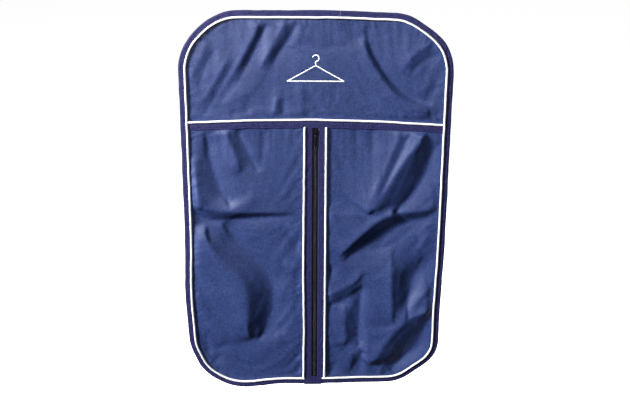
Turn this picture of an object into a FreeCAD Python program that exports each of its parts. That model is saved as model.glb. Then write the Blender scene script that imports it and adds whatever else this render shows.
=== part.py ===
import FreeCAD, Part
import Sketcher
import math
import os
from FreeCAD import Vector, Placement, Rotation

# Garment bag, hanging as on a rail. X is across the bag, Z is up, and the
# front with the zip faces -Y. The layers are worked out from the sewing
# plane y = 0, the back face of the front panels, and every sub-part is then
# placed so that the origin lies in the middle of the hanger-hook slit.

doc = FreeCAD.newDocument("garment_bag")
sheet = doc.addObject("Spreadsheet::Sheet", "dims")

DIMS = [
    ("bag_width", 600.0, "outer width over the edge binding"),
    ("bag_height", 890.0, "outer height over the edge binding"),
    ("top_radius", 130.0, "outer radius of the shoulder corners"),
    ("bottom_radius", 115.0, "outer radius of the bottom corners"),
    ("fabric", 0.6, "thickness of the coated body cloth"),
    ("tape", 0.8, "thickness of a folded binding tape"),
    ("flange", 0.8, "thickness of a piping's sewn-in flange"),
    ("binding_width", 12.5, "visible width of the edge binding"),
    ("piping_dia", 5.0, "diameter of the piping over its cover"),
    ("piping_core", 3.0, "diameter of the filler cord in the piping"),
    ("piping_gap", 0.1, "gap between the binding's edge and the piping"),
    ("piping_lift", 0.05, "gap between the piping and the cloth"),
    ("flange_start", 0.5, "start of a flange, off the piping's middle"),
    ("tray_depth", 12.0, "room inside, from the front cloth to the back"),
    ("tray_run", 47.5, "width of the back's sloping border"),
    ("slit_half", 50.0, "half the length of the hanger-hook slit"),
    ("slit_rise", 10.0, "how far the back arches at the slit"),
    ("vault_length", 61.2, "height of the arched part of the back"),
    ("yoke_seam", 240.0, "seam of the yoke, below the top edge"),
    ("yoke_tape_width", 13.3, "visible width of the tape on that seam"),
    ("zip_half", 24.0, "middle of a zip piping from the bag's middle"),
    ("zip_gap_half", 6.5, "half the gap between the bound zip edges"),
    ("zip_web", 0.6, "thickness of tape round a zip edge"),
    ("zip_band_edge", 21.5, "outer edge of the zip edge's binding"),
    ("zip_tape_thick", 0.6, "thickness of the zip's woven tape"),
    ("zip_tape_inner", 1.5, "inner edge of the zip's woven tape"),
    ("coil_inner", 0.6, "inner face of a coil half"),
    ("coil_outer", 3.2, "outer face of a coil half"),
    ("coil_thick", 1.5, "thickness of the coil"),
    ("slider_top", 258.0, "top of the slider at rest, below the top edge"),
    ("slider_length", 13.0, "length of the slider"),
    ("slider_half", 4.6, "half the slider's width"),
    ("slider_plate", 1.2, "thickness of the slider's front plate"),
    ("pull_drop", 267.4, "pivot of the pull, below the top edge"),
    ("pull_length", 30.0, "length of the pull below its pivot"),
    ("pull_half", 2.6, "half the pull's width"),
    ("pull_thick", 1.0, "thickness of the pull"),
    ("stop_drop", 866.0, "top of the bottom stop, below the top edge"),
    ("tab_half", 21.0, "half the width of the folded end tab"),
    ("tab_top", 869.0, "top of the end tab, below the top edge"),
    ("tab_fold", 2.0, "how far the end tab's fold hangs below the edge"),
    ("slit_centre", 5.0, "middle of the slit's gap behind the sewing plane"),
    ("motif_drop", 118.0, "neck of the stitched hanger motif, below the top"),
    ("motif_half", 62.0, "half the span of the stitched motif"),
    ("motif_rise", 34.0, "height of the motif's sloping shoulders"),
    ("motif_stroke", 2.6, "width of the motif's satin stitch"),
]
for row, (alias, value, note) in enumerate(DIMS, start=1):
    sheet.set("A%d" % row, alias)
    sheet.set("B%d" % row, str(value))
    sheet.set("C%d" % row, note)
    sheet.setAlias("B%d" % row, alias)
doc.recompute()


class Size:
    """A length in mm together with the sheet expression that drives it."""

    def __init__(self, value, text):
        self.v = float(value)
        self.e = text

    @staticmethod
    def of(x):
        return x if isinstance(x, Size) else Size(x, "%.6g" % x)

    def __add__(self, other):
        other = Size.of(other)
        return Size(self.v + other.v, "(%s + %s)" % (self.e, other.e))

    __radd__ = __add__

    def __sub__(self, other):
        other = Size.of(other)
        return Size(self.v - other.v, "(%s - %s)" % (self.e, other.e))

    def __rsub__(self, other):
        return Size.of(other) - self

    def __mul__(self, other):
        other = Size.of(other)
        return Size(self.v * other.v, "(%s * %s)" % (self.e, other.e))

    __rmul__ = __mul__

    def __truediv__(self, other):
        other = Size.of(other)
        return Size(self.v / other.v, "(%s / %s)" % (self.e, other.e))

    def __neg__(self):
        return Size(-self.v, "(0 - %s)" % self.e)


S = {alias: Size(getattr(sheet, alias), "<<dims>>.%s" % alias) for alias, _, _ in DIMS}

# Layers, front to back, as y of the sewing plane.
half_w = S["bag_width"] / 2
low = -S["bag_height"]
cloth_front = -S["fabric"]
flange_front = cloth_front - S["flange"]
band_front = flange_front - S["tape"]
cord_y = cloth_front - S["piping_lift"] - S["piping_dia"] / 2
rim_back = S["fabric"]
band_back = rim_back + S["tape"]
cord_in = S["binding_width"] + S["piping_gap"] + S["piping_dia"] / 2
zip_tape_front = S["zip_web"]
zip_tape_back = zip_tape_front + S["zip_tape_thick"]
coil_front = zip_tape_front - S["coil_thick"]
seam = -S["yoke_seam"]
tape_low = seam - S["piping_dia"] / 2 - S["piping_gap"] - S["yoke_tape_width"]

bodies = []


def body(name):
    """A body of its own for one sub-part, placed with the slit at the origin."""
    b = doc.addObject("PartDesign::Body", name)
    b.Label = name
    b.Placement = Placement(Vector(0, -S["slit_centre"].v, 0), Rotation())
    b.setExpression("Placement.Base.y", "0 - <<dims>>.slit_centre")
    bodies.append(b)
    return b


def sketch(b, name, role, at):
    """A sketch on one of the body's own origin planes, `at` mm along it.

    XZ_Plane looks along -Y, so `at` there is minus the sketch's y."""
    at = Size.of(at)
    sk = b.newObject("Sketcher::SketchObject", name)
    plane = [f for f in b.Origin.OriginFeatures if f.Role == role][0]
    sk.AttachmentSupport = [(plane, "")]
    sk.MapMode = "FlatFace"
    sk.AttachmentOffset = Placement(Vector(0, 0, at.v), Rotation())
    sk.setExpression("AttachmentOffset.Base.z", at.e)
    return sk


def drive(sk, index, size):
    """Tie one dimension of a sketch to the sheet."""
    name = "dim_%d" % index
    sk.renameConstraint(index, name)
    sk.setExpression("Constraints.%s" % name, size.e)


def from_origin(sk, kind, geo, pos, size):
    """Dimension a point from the sketch's origin, on either side of it."""
    if size.v >= 0:
        i = sk.addConstraint(Sketcher.Constraint(kind, -1, 1, geo, pos, size.v))
        drive(sk, i, size)
    else:
        i = sk.addConstraint(Sketcher.Constraint(kind, geo, pos, -1, 1, -size.v))
        drive(sk, i, -size)


def outline(sk, corners, closed=True):
    """Lines parallel to the axes through (x, y, radius or None) corners."""
    pts = [(Size.of(c[0]), Size.of(c[1]), None if c[2] is None else Size.of(c[2])) for c in corners]
    n = len(pts)
    m = n if closed else n - 1

    def direction(i):
        a, c = pts[i], pts[(i + 1) % n]
        d = Vector(c[0].v - a[0].v, c[1].v - a[1].v, 0)
        d.normalize()
        return d

    lines = []
    for i in range(m):
        a, c = pts[i], pts[(i + 1) % n]
        d = direction(i)
        ra = a[2].v if a[2] is not None else 0.0
        rc = c[2].v if c[2] is not None else 0.0
        start = Vector(a[0].v, a[1].v, 0) + d * ra
        end = Vector(c[0].v, c[1].v, 0) - d * rc
        g = sk.addGeometry(Part.LineSegment(start, end), False)
        lines.append(g)
        if abs(d.x) > abs(d.y):
            sk.addConstraint(Sketcher.Constraint("Horizontal", g))
            from_origin(sk, "DistanceY", g, 1, a[1])
        else:
            sk.addConstraint(Sketcher.Constraint("Vertical", g))
            from_origin(sk, "DistanceX", g, 1, a[0])
    if not closed:
        for g, pos, p, i in ((lines[0], 1, pts[0], 0), (lines[-1], 2, pts[-1], n - 2)):
            d = direction(i)
            if abs(d.x) > abs(d.y):
                from_origin(sk, "DistanceX", g, pos, p[0])
            else:
                from_origin(sk, "DistanceY", g, pos, p[1])
    for i in range(n if closed else n - 2):
        k = (i + 1) % n
        before, after, p = lines[i], lines[k], pts[k]
        if p[2] is None:
            sk.addConstraint(Sketcher.Constraint("Coincident", before, 2, after, 1))
            continue
        r = p[2].v
        d_in, d_out = direction(i), direction(k)
        centre = Vector(p[0].v, p[1].v, 0) - d_in * r + d_out * r
        left = d_in.x * d_out.y - d_in.y * d_out.x > 0
        p1 = Vector(p[0].v, p[1].v, 0) - d_in * r
        p2 = Vector(p[0].v, p[1].v, 0) + d_out * r
        first, last = (p1, p2) if left else (p2, p1)
        a0 = math.atan2(first.y - centre.y, first.x - centre.x)
        a1 = math.atan2(last.y - centre.y, last.x - centre.x)
        while a1 <= a0:
            a1 += 2 * math.pi
        g = sk.addGeometry(Part.ArcOfCircle(Part.Circle(centre, Vector(0, 0, 1), r), a0, a1), False)
        s, t = (1, 2) if left else (2, 1)
        sk.addConstraint(Sketcher.Constraint("Tangent", before, 2, g, s))
        sk.addConstraint(Sketcher.Constraint("Tangent", g, t, after, 1))
        j = sk.addConstraint(Sketcher.Constraint("Radius", g, r))
        drive(sk, j, p[2])


def bag_outline(sk, inset):
    """The bag's rounded outline, drawn in from its outer edge."""
    inset = Size.of(inset)
    x, top, bottom = half_w - inset, -inset, low + inset
    rt, rb = S["top_radius"] - inset, S["bottom_radius"] - inset
    outline(sk, [(x, bottom, rb), (x, top, rt), (-x, top, rt), (-x, bottom, rb)])


def circle(sk, x, y, r):
    x, y, r = Size.of(x), Size.of(y), Size.of(r)
    g = sk.addGeometry(Part.Circle(Vector(x.v, y.v, 0), Vector(0, 0, 1), r.v), False)
    from_origin(sk, "DistanceX", g, 3, x)
    from_origin(sk, "DistanceY", g, 3, y)
    i = sk.addConstraint(Sketcher.Constraint("Radius", g, r.v))
    drive(sk, i, r)


def box_outline(sk, x0, x1, y0, y1, r=None):
    outline(sk, [(x1, y0, r), (x1, y1, r), (x0, y1, r), (x0, y0, r)])


def pad(b, sk, length, name):
    length = Size.of(length)
    p = b.newObject("PartDesign::Pad", name)
    p.Profile = sk
    p.Length = length.v
    p.setExpression("Length", length.e)
    sk.Visibility = False
    doc.recompute()
    b.Tip = p
    return p


def layer(b, name, front, back, *outlines):
    """A flat layer between two y values; each outline draws into its sketch."""
    front, back = Size.of(front), Size.of(back)
    sk = sketch(b, name + "_sketch", "XZ_Plane", -back)
    for draw in outlines:
        draw(sk)
    return pad(b, sk, back - front, name)


def bar(b, name, x0, x1, draw):
    """A piece of constant section along X, its section drawn as (y, z)."""
    x0, x1 = Size.of(x0), Size.of(x1)
    sk = sketch(b, name + "_sketch", "YZ_Plane", x0)
    draw(sk)
    return pad(b, sk, x1 - x0, name)


def post(b, name, z0, z1, draw):
    """A piece of constant section along Z, its section drawn as (x, y)."""
    z0, z1 = Size.of(z0), Size.of(z1)
    sk = sketch(b, name + "_sketch", "XY_Plane", z0)
    draw(sk)
    return pad(b, sk, z1 - z0, name)


def must_shrink(b, before, what):
    doc.recompute()
    after = b.Shape.Volume
    if not after < before - 1e-3:
        raise RuntimeError("%s removed nothing" % what)


def cut_layer(b, name, front, back, *outlines):
    """Cut a flat layer out of the body, and make sure that it did."""
    before = b.Shape.Volume
    front, back = Size.of(front), Size.of(back)
    sk = sketch(b, name + "_sketch", "XZ_Plane", -back)
    for draw in outlines:
        draw(sk)
    c = b.newObject("PartDesign::Pocket", name)
    c.Profile = sk
    length = back - front
    c.Length = length.v
    c.setExpression("Length", length.e)
    c.Reversed = True
    sk.Visibility = False
    b.Tip = c
    must_shrink(b, before, name)
    return c


def cut_post(b, name, z0, z1, draw):
    """Cut a constant (x, y) section out of the body between two heights."""
    before = b.Shape.Volume
    z0, z1 = Size.of(z0), Size.of(z1)
    sk = sketch(b, name + "_sketch", "XY_Plane", z0)
    draw(sk)
    c = b.newObject("PartDesign::Pocket", name)
    c.Profile = sk
    length = z1 - z0
    c.Length = length.v
    c.setExpression("Length", length.e)
    c.Reversed = True
    sk.Visibility = False
    b.Tip = c
    must_shrink(b, before, name)
    return c


# ---------------------------------------------------------------- cloth panels

# The back is a shallow tray: a flat rim in the edge seam, a sloping border,
# and a flat back. At the top middle it arches away from the front, which
# leaves the slit that a hanger's hook comes out of.
arch_r = (S["slit_half"] * S["slit_half"] + S["slit_rise"] * S["slit_rise"]) / (2 * S["slit_rise"])
arch_y = S["slit_rise"] - arch_r


def arch_sector(sk, r_in, r_out, floor):
    """A band between two arcs about the arch's centre, cut off at y = floor.

    With no inner radius it is the whole segment above that line."""
    r_out, floor = Size.of(r_out), Size.of(floor)
    c = Vector(0, arch_y.v, 0)

    def half_angle(r):
        return math.acos((floor.v - arch_y.v) / r)

    a = half_angle(r_out.v)
    outer = sk.addGeometry(
        Part.ArcOfCircle(Part.Circle(c, Vector(0, 0, 1), r_out.v), math.pi / 2 - a, math.pi / 2 + a), False
    )
    sk.addConstraint(Sketcher.Constraint("PointOnObject", outer, 3, -2))
    from_origin(sk, "DistanceY", outer, 3, arch_y)
    drive(sk, sk.addConstraint(Sketcher.Constraint("Radius", outer, r_out.v)), r_out)
    from_origin(sk, "DistanceY", outer, 1, floor)
    from_origin(sk, "DistanceY", outer, 2, floor)
    x_out = r_out.v * math.sin(a)
    if r_in is None:
        g = sk.addGeometry(Part.LineSegment(Vector(-x_out, floor.v, 0), Vector(x_out, floor.v, 0)), False)
        sk.addConstraint(Sketcher.Constraint("Coincident", outer, 2, g, 1))
        sk.addConstraint(Sketcher.Constraint("Coincident", g, 2, outer, 1))
        return
    r_in = Size.of(r_in)
    k = half_angle(r_in.v)
    x_in = r_in.v * math.sin(k)
    inner = sk.addGeometry(
        Part.ArcOfCircle(Part.Circle(c, Vector(0, 0, 1), r_in.v), math.pi / 2 - k, math.pi / 2 + k), False
    )
    sk.addConstraint(Sketcher.Constraint("Coincident", inner, 3, outer, 3))
    drive(sk, sk.addConstraint(Sketcher.Constraint("Radius", inner, r_in.v)), r_in)
    from_origin(sk, "DistanceY", inner, 1, floor)
    from_origin(sk, "DistanceY", inner, 2, floor)
    g1 = sk.addGeometry(Part.LineSegment(Vector(-x_out, floor.v, 0), Vector(-x_in, floor.v, 0)), False)
    sk.addConstraint(Sketcher.Constraint("Coincident", outer, 2, g1, 1))
    sk.addConstraint(Sketcher.Constraint("Coincident", g1, 2, inner, 2))
    g2 = sk.addGeometry(Part.LineSegment(Vector(x_in, floor.v, 0), Vector(x_out, floor.v, 0)), False)
    sk.addConstraint(Sketcher.Constraint("Coincident", inner, 1, g2, 1))
    sk.addConstraint(Sketcher.Constraint("Coincident", g2, 2, outer, 1))


def loft(b, name, kind, y0, inset0, y1, inset1):
    a = sketch(b, name + "_a", "XZ_Plane", -Size.of(y0))
    bag_outline(a, inset0)
    z = sketch(b, name + "_b", "XZ_Plane", -Size.of(y1))
    bag_outline(z, inset1)
    f = b.newObject(kind, name)
    f.Profile = a
    f.Sections = [z]
    f.Ruled = True
    f.Closed = False
    a.Visibility = z.Visibility = False
    doc.recompute()
    b.Tip = f
    return f


b = body("back_panel")
layer(
    b,
    "rim",
    0,
    rim_back,
    lambda k: bag_outline(k, S["tape"]),
    lambda k: bag_outline(k, S["binding_width"]),
)
slope = S["tray_run"] / S["tray_depth"]
loft(
    b,
    "tray_outside",
    "PartDesign::AdditiveLoft",
    0,
    S["binding_width"] - S["fabric"] * slope + 0.075,
    S["tray_depth"] + S["fabric"],
    S["binding_width"] + S["tray_run"],
)
post(
    b,
    "vault_outside",
    -S["tape"] - S["vault_length"],
    -S["tape"],
    lambda k: arch_sector(k, None, arch_r + S["fabric"], 0.02),
)
before = b.Shape.Volume
loft(
    b,
    "tray_inside",
    "PartDesign::SubtractiveLoft",
    -1,
    S["binding_width"] - slope,
    S["tray_depth"],
    S["binding_width"] + S["tray_run"],
)
must_shrink(b, before, "tray_inside")
cut_post(
    b,
    "vault_inside",
    -S["tape"] - S["vault_length"] + 0.5,
    1,
    lambda k: arch_sector(k, None, arch_r, -0.5),
)

b = body("yoke_panel")
x_in, rt_in, rb_in = half_w - S["tape"], S["top_radius"] - S["tape"], S["bottom_radius"] - S["tape"]
layer(
    b,
    "yoke_cloth",
    cloth_front,
    0,
    lambda k: outline(
        k, [(x_in, seam, None), (x_in, -S["tape"], rt_in), (-x_in, -S["tape"], rt_in), (-x_in, seam, None)]
    ),
)

edge = S["zip_gap_half"] + S["zip_web"]
for side, name in ((-1, "front_left_panel"), (1, "front_right_panel")):
    b = body(name)
    if side < 0:
        pts = [
            (-edge, low + S["tape"], None),
            (-edge, seam, None),
            (-x_in, seam, None),
            (-x_in, low + S["tape"], rb_in),
        ]
    else:
        pts = [(x_in, low + S["tape"], rb_in), (x_in, seam, None), (edge, seam, None), (edge, low + S["tape"], None)]
    layer(b, "cloth", cloth_front, 0, lambda k, p=pts: outline(k, p))

# ---------------------------------------------------------------- edge binding

# A tape folded round the whole edge: a leg in front, a leg behind and the fold
# between them. It is left out over the slit, where front and back are bound
# apart.
cut_half = S["slit_half"] + 2.3
b = body("perimeter_binding")
layer(b, "front_leg", band_front, flange_front, lambda k: bag_outline(k, 0), lambda k: bag_outline(k, S["binding_width"]))
layer(b, "back_leg", rim_back, band_back, lambda k: bag_outline(k, 0), lambda k: bag_outline(k, S["binding_width"]))
layer(b, "fold", band_front, band_back, lambda k: bag_outline(k, 0), lambda k: bag_outline(k, S["tape"]))
cut_layer(
    b,
    "slit_gap",
    band_front - 1,
    band_back + 1,
    lambda k: box_outline(k, -cut_half, cut_half, -S["binding_width"] - 0.5, 1),
)

b = body("slit_front_binding")
lip = cut_half - 0.1
short = S["slit_half"] - 5
bar(
    b,
    "front_and_fold",
    -lip,
    lip,
    lambda k: outline(
        k,
        [
            (band_front, -S["binding_width"], None),
            (flange_front, -S["binding_width"], None),
            (flange_front, -S["tape"], None),
            (0, -S["tape"], None),
            (0, 0, None),
            (band_front, 0, None),
        ],
    ),
)
bar(
    b,
    "inside_leg",
    -short,
    short,
    lambda k: outline(
        k,
        [
            (0, -S["binding_width"], None),
            (S["tape"], -S["binding_width"], None),
            (S["tape"], 0, None),
            (-S["tape"], 0, None),
            (-S["tape"], -S["tape"], None),
            (0, -S["tape"], None),
        ],
    ),
)

b = body("slit_back_binding")
post(
    b,
    "arched_tape",
    -S["binding_width"],
    0,
    lambda k: arch_sector(k, arch_r - S["tape"], arch_r + S["fabric"] + S["tape"], 0.9),
)
cut_post(
    b,
    "cloth_groove",
    -S["binding_width"] - 1,
    -S["tape"],
    lambda k: arch_sector(k, arch_r, arch_r + S["fabric"], 0.4),
)

# Four short bars of close stitching, two in front and two behind, hold the
# ends of the slit. They share a node because they are identical.
tack_x, tack_w = cut_half + 1.7, 2.4


def tack(y_front, y_back, side, name):
    t = doc.addObject("Part::Box", name)
    t.setExpression("Length", "%.3f" % tack_w)
    t.setExpression("Width", (Size.of(y_back) - Size.of(y_front)).e)
    t.setExpression("Height", (S["binding_width"] - 2.5).e)
    t.setExpression("Placement.Base.x", (side * tack_x - tack_w / 2).e)
    t.setExpression("Placement.Base.y", (Size.of(y_front) - S["slit_centre"]).e)
    t.setExpression("Placement.Base.z", (-S["binding_width"] + 1.2).e)
    r = doc.addObject("Part::Fillet", name + "_rounded")
    r.Base = t
    doc.recompute()
    # round the four long edges on the free side a little
    keep = []
    free = y_front if Size.of(y_front).v < 0 else y_back
    y = Size.of(free).v - S["slit_centre"].v
    for i, e in enumerate(t.Shape.Edges, start=1):
        if all(abs(v.Point.y - y) < 1e-6 for v in e.Vertexes):
            keep.append((i, 0.2, 0.2))
    r.Edges = keep
    t.Visibility = False
    return r


tacks = doc.addObject("Part::Compound", "slit_bartacks")
tacks.Label = "slit_bartacks"
tacks.Links = [
    tack(band_front - 0.5, band_front, -1, "tack_front_left"),
    tack(band_front - 0.5, band_front, 1, "tack_front_right"),
    tack(band_back, band_back + 0.5, -1, "tack_back_left"),
    tack(band_back, band_back + 0.5, 1, "tack_back_right"),
]
bodies.append(tacks)

# --------------------------------------------------------------------- pipings

# A piping is a filler cord in a cover, whose flange is sewn into the seam.
# The edge piping runs round from one side of the end tab to the other.
cord_r, core_r = S["piping_dia"] / 2, S["piping_core"] / 2
cord_end = S["tab_half"] + 0.6


def edge_run(b, name, radii):
    path = sketch(b, name + "_path", "XZ_Plane", -cord_y)
    x, top, bottom = half_w - cord_in, -cord_in, low + cord_in
    rt, rb = S["top_radius"] - cord_in, S["bottom_radius"] - cord_in
    outline(
        path,
        [(cord_end, bottom, None), (x, bottom, rb), (x, top, rt), (-x, top, rt), (-x, bottom, rb), (-cord_end, bottom, None)],
        closed=False,
    )
    prof = sketch(b, name + "_section", "YZ_Plane", cord_end)
    for r in radii:
        circle(prof, cord_y, low + cord_in, r)
    f = b.newObject("PartDesign::AdditivePipe", name)
    f.Profile = prof
    f.Spine = (path, [])
    path.Visibility = prof.Visibility = False
    doc.recompute()
    b.Tip = f
    return f


b = body("perimeter_piping")
edge_run(b, "cover", (cord_r, core_r))
layer(
    b,
    "sewn_flange",
    flange_front,
    cloth_front,
    lambda k: bag_outline(k, S["tape"]),
    lambda k: bag_outline(k, cord_in - S["flange_start"]),
)
b = body("perimeter_piping_cord")
edge_run(b, "filler", (core_r,))

yoke_x = half_w - cord_in - cord_r - 0.1
for name, radii in (("yoke_piping", (cord_r, core_r)), ("yoke_piping_cord", (core_r,))):
    b = body(name)
    bar(b, "run", -yoke_x, yoke_x, lambda k, rr=radii: [circle(k, cord_y, seam, r) for r in rr])
    if len(radii) == 2:
        layer(
            b,
            "sewn_flange",
            flange_front,
            cloth_front,
            lambda k: box_outline(k, -yoke_x, yoke_x, tape_low + 2, seam - S["flange_start"]),
        )

b = body("yoke_tape")
layer(
    b,
    "tape",
    band_front,
    flange_front,
    lambda k: box_outline(k, -yoke_x, yoke_x, tape_low, tape_low + S["yoke_tape_width"]),
)

zip_cord_low = low + cord_in + cord_r + 0.1
zip_cord_top = tape_low - 0.1
for side, word in ((-1, "left"), (1, "right")):
    for name, radii in (("zip_piping_" + word, (cord_r, core_r)), ("zip_piping_cord_" + word, (core_r,))):
        b = body(name)
        x = side * S["zip_half"]
        post(b, "run", zip_cord_low, zip_cord_top, lambda k, rr=radii, x=x: [circle(k, x, cord_y, r) for r in rr])
        if len(radii) == 2:
            inner, outer = side * edge, x - side * S["flange_start"]
            lo, hi = (outer, inner) if side < 0 else (inner, outer)
            layer(
                b,
                "sewn_flange",
                flange_front,
                cloth_front,
                lambda k, lo=lo, hi=hi: box_outline(k, lo, hi, zip_cord_low, zip_cord_top),
            )

# ------------------------------------------------------------------------- zip

# Each edge of the opening is bound in tape. The zip's woven tapes are sewn
# behind, and carry the two halves of the coil.
band_low = low + S["binding_width"] + 2.9
zip_low = low + S["binding_width"] + 5.5
for side, word in ((-1, "left"), (1, "right")):
    b = body("zip_binding_" + word)

    def section(k, s=side):
        inner, web, outer = s * S["zip_gap_half"], s * edge, s * S["zip_band_edge"]
        pts = [
            (inner, band_front, None),
            (outer, band_front, None),
            (outer, flange_front, None),
            (web, flange_front, None),
            (web, 0, None),
            (outer, 0, None),
            (outer, S["zip_web"], None),
            (inner, S["zip_web"], None),
        ]
        outline(k, pts)

    post(b, "folded_tape", band_low, tape_low - 0.1, section)

    b = body("zip_tape_" + word)
    a, c = side * S["zip_tape_inner"], side * S["zip_band_edge"]
    lo, hi = (c, a) if side < 0 else (a, c)
    layer(
        b,
        "woven_tape",
        zip_tape_front,
        zip_tape_back,
        lambda k, lo=lo, hi=hi: box_outline(k, lo, hi, zip_low, seam - 1),
    )

    b = body("zip_coil_" + word)
    a, c = side * S["coil_inner"], side * S["coil_outer"]
    lo, hi = (c, a) if side < 0 else (a, c)
    post(
        b,
        "coil_half",
        -S["stop_drop"] + 0.1,
        -S["slider_top"] + 0.4,
        lambda k, lo=lo, hi=hi: box_outline(k, lo, hi, coil_front, zip_tape_front, 0.5),
    )

stops = doc.addObject("Part::Compound", "zip_top_stops")
stops.Label = "zip_top_stops"
blocks = []
for side, word in ((-1, "left"), (1, "right")):
    t = doc.addObject("Part::Box", "top_stop_" + word)
    inner, outer = S["coil_inner"], S["coil_outer"] + 0.8
    t.setExpression("Length", (outer - inner).e)
    t.setExpression("Width", (zip_tape_front - coil_front + 0.2).e)
    t.setExpression("Height", "2.6")
    t.setExpression("Placement.Base.x", (inner if side > 0 else -outer).e)
    t.setExpression("Placement.Base.y", (coil_front - 0.2 - S["slit_centre"]).e)
    t.setExpression("Placement.Base.z", (-S["slider_top"] + 0.5).e)
    r = doc.addObject("Part::Fillet", "top_stop_rounded_" + word)
    r.Base = t
    doc.recompute()
    y = (coil_front - 0.2 - S["slit_centre"]).v
    r.Edges = [
        (i, 0.3, 0.3)
        for i, e in enumerate(t.Shape.Edges, start=1)
        if all(abs(v.Point.y - y) < 1e-6 for v in e.Vertexes)
    ]
    t.Visibility = False
    blocks.append(r)
stops.Links = blocks
bodies.append(stops)

b = body("zip_bottom_stop")
layer(
    b,
    "clamp",
    coil_front - 0.2,
    zip_tape_front,
    lambda k: box_outline(k, -S["coil_outer"] - 0.8, S["coil_outer"] + 0.8, -S["stop_drop"] - 3, -S["stop_drop"], 0.6),
)

# A short tape folded over the edge closes the bottom end of the zip.
b = body("zip_end_tab")
tab_low = low - S["tab_fold"]
bar(
    b,
    "folded_tab",
    -S["tab_half"],
    S["tab_half"],
    lambda k: outline(
        k,
        [
            (band_front - 1, tab_low, 0.8),
            (band_back + 1, tab_low, 0.8),
            (band_back + 1, low + 14, None),
            (band_back, low + 14, None),
            (band_back, low, None),
            (band_front, low, None),
            (band_front, -S["tab_top"], None),
            (band_front - 1, -S["tab_top"], None),
        ],
    ),
)

# ---------------------------------------------------------------------- slider

# Front and rear plates joined by a thin web between the coil halves, with
# side rails that lead the coil, and a bridge that holds the pull.
plate_back = coil_front - 0.3
plate_front = plate_back - S["slider_plate"]
rear_front = zip_tape_back + 0.2
s_top = -S["slider_top"]
s_low = s_top - S["slider_length"]
sh = S["slider_half"]
b = body("slider_body")
layer(b, "front_plate", plate_front, plate_back, lambda k: box_outline(k, -sh, sh, s_low, s_top, 1.8))
for side, word in ((-1, "left"), (1, "right")):
    lo, hi = (-sh, -sh + 1) if side < 0 else (sh - 1, sh)
    layer(
        b,
        "rail_" + word,
        plate_back - 0.5,
        zip_tape_front - 0.2,
        lambda k, lo=lo, hi=hi: box_outline(k, lo, hi, s_low + 1.9, s_top - 1.9),
    )
layer(b, "web", plate_back - 0.5, rear_front + 0.5, lambda k: box_outline(k, -0.3, 0.3, s_top - 4, s_top - 0.5))
layer(b, "rear_plate", rear_front, rear_front + 1, lambda k: box_outline(k, -sh, sh, s_low, s_top, 1.8))
bridge_top, bridge_low = s_top - 1, s_low + 1
strap_front, strap_back = plate_front - 3.6, plate_front - 2.6
bar(
    b,
    "bridge",
    -1,
    1,
    lambda k: outline(
        k,
        [
            (plate_front + 0.3, bridge_low, None),
            (plate_front + 0.3, bridge_low + 1.5, None),
            (strap_back, bridge_low + 1.5, None),
            (strap_back, bridge_top - 1.5, None),
            (plate_front + 0.3, bridge_top - 1.5, None),
            (plate_front + 0.3, bridge_top, None),
            (strap_front, bridge_top, 0.9),
            (strap_front, bridge_low, 0.9),
        ],
    ),
)

# The pull is a plate with a slot; the bar above the slot turns under the
# bridge.
pivot_y = plate_front - 1.6
pull_z = -S["pull_drop"]
ph = S["pull_half"]
b = body("pull_tab")
layer(
    b,
    "plate",
    pivot_y - S["pull_thick"] / 2,
    pivot_y + S["pull_thick"] / 2,
    lambda k: box_outline(k, -ph, ph, pull_z - S["pull_length"], pull_z + 0.6, 0.55),
    lambda k: box_outline(k, -1.4, 1.4, pull_z - 9.4, pull_z - 0.6, 0.5),
    lambda k: circle(k, 0, pull_z - S["pull_length"] + 3.2, 1.2),
)

# ----------------------------------------------------------------------- motif

# A plain stitched coat hanger on the yoke, raised by its satin stitch: a
# chain of round-ended bars along the hanger's line. No sketch feature makes
# that shape, so it is put together from solids.
w = S["motif_stroke"].v / 2
rise = 0.5


def stroke(p, q):
    d = q - p
    length = d.Length
    box = Part.makeBox(length, 2 * w, rise, Vector(0, -w, 0))
    box.rotate(Vector(0, 0, 0), Vector(0, 0, 1), math.degrees(math.atan2(d.y, d.x)))
    box.translate(p)
    return box.fuse(Part.makeCylinder(w, rise, q))


neck = -S["motif_drop"].v
mh, mr = S["motif_half"].v, S["motif_rise"].v
line = [Vector(0, neck + 9, 0), Vector(0, neck, 0), Vector(mh, neck - mr, 0), Vector(-mh, neck - mr, 0), Vector(0, neck, 0)]
hook = []
hook_r = 7.0
hook_c = Vector(0, neck + 9 + hook_r, 0)
for i in range(11):
    a = math.radians(-90 + 25.0 * i)
    hook.append(hook_c + Vector(hook_r * math.cos(a), hook_r * math.sin(a), 0))
motif = Part.makeCylinder(w, rise, line[0])
for p, q in list(zip(line, line[1:])) + list(zip(hook, hook[1:])):
    motif = motif.fuse(stroke(p, q))
motif = motif.removeSplitter()
# drawn in the (x, y) plane with its height along z: stand it up so that the
# height points to the front
motif.rotate(Vector(0, 0, 0), Vector(1, 0, 0), 90)
badge = doc.addObject("Part::Feature", "yoke_embroidery")
badge.Label = "yoke_embroidery"
badge.Shape = motif
badge.Placement = Placement(
    Vector(0, cloth_front.v - S["slit_centre"].v, 0) + motif.Placement.Base, motif.Placement.Rotation
)
bodies.append(badge)

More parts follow.
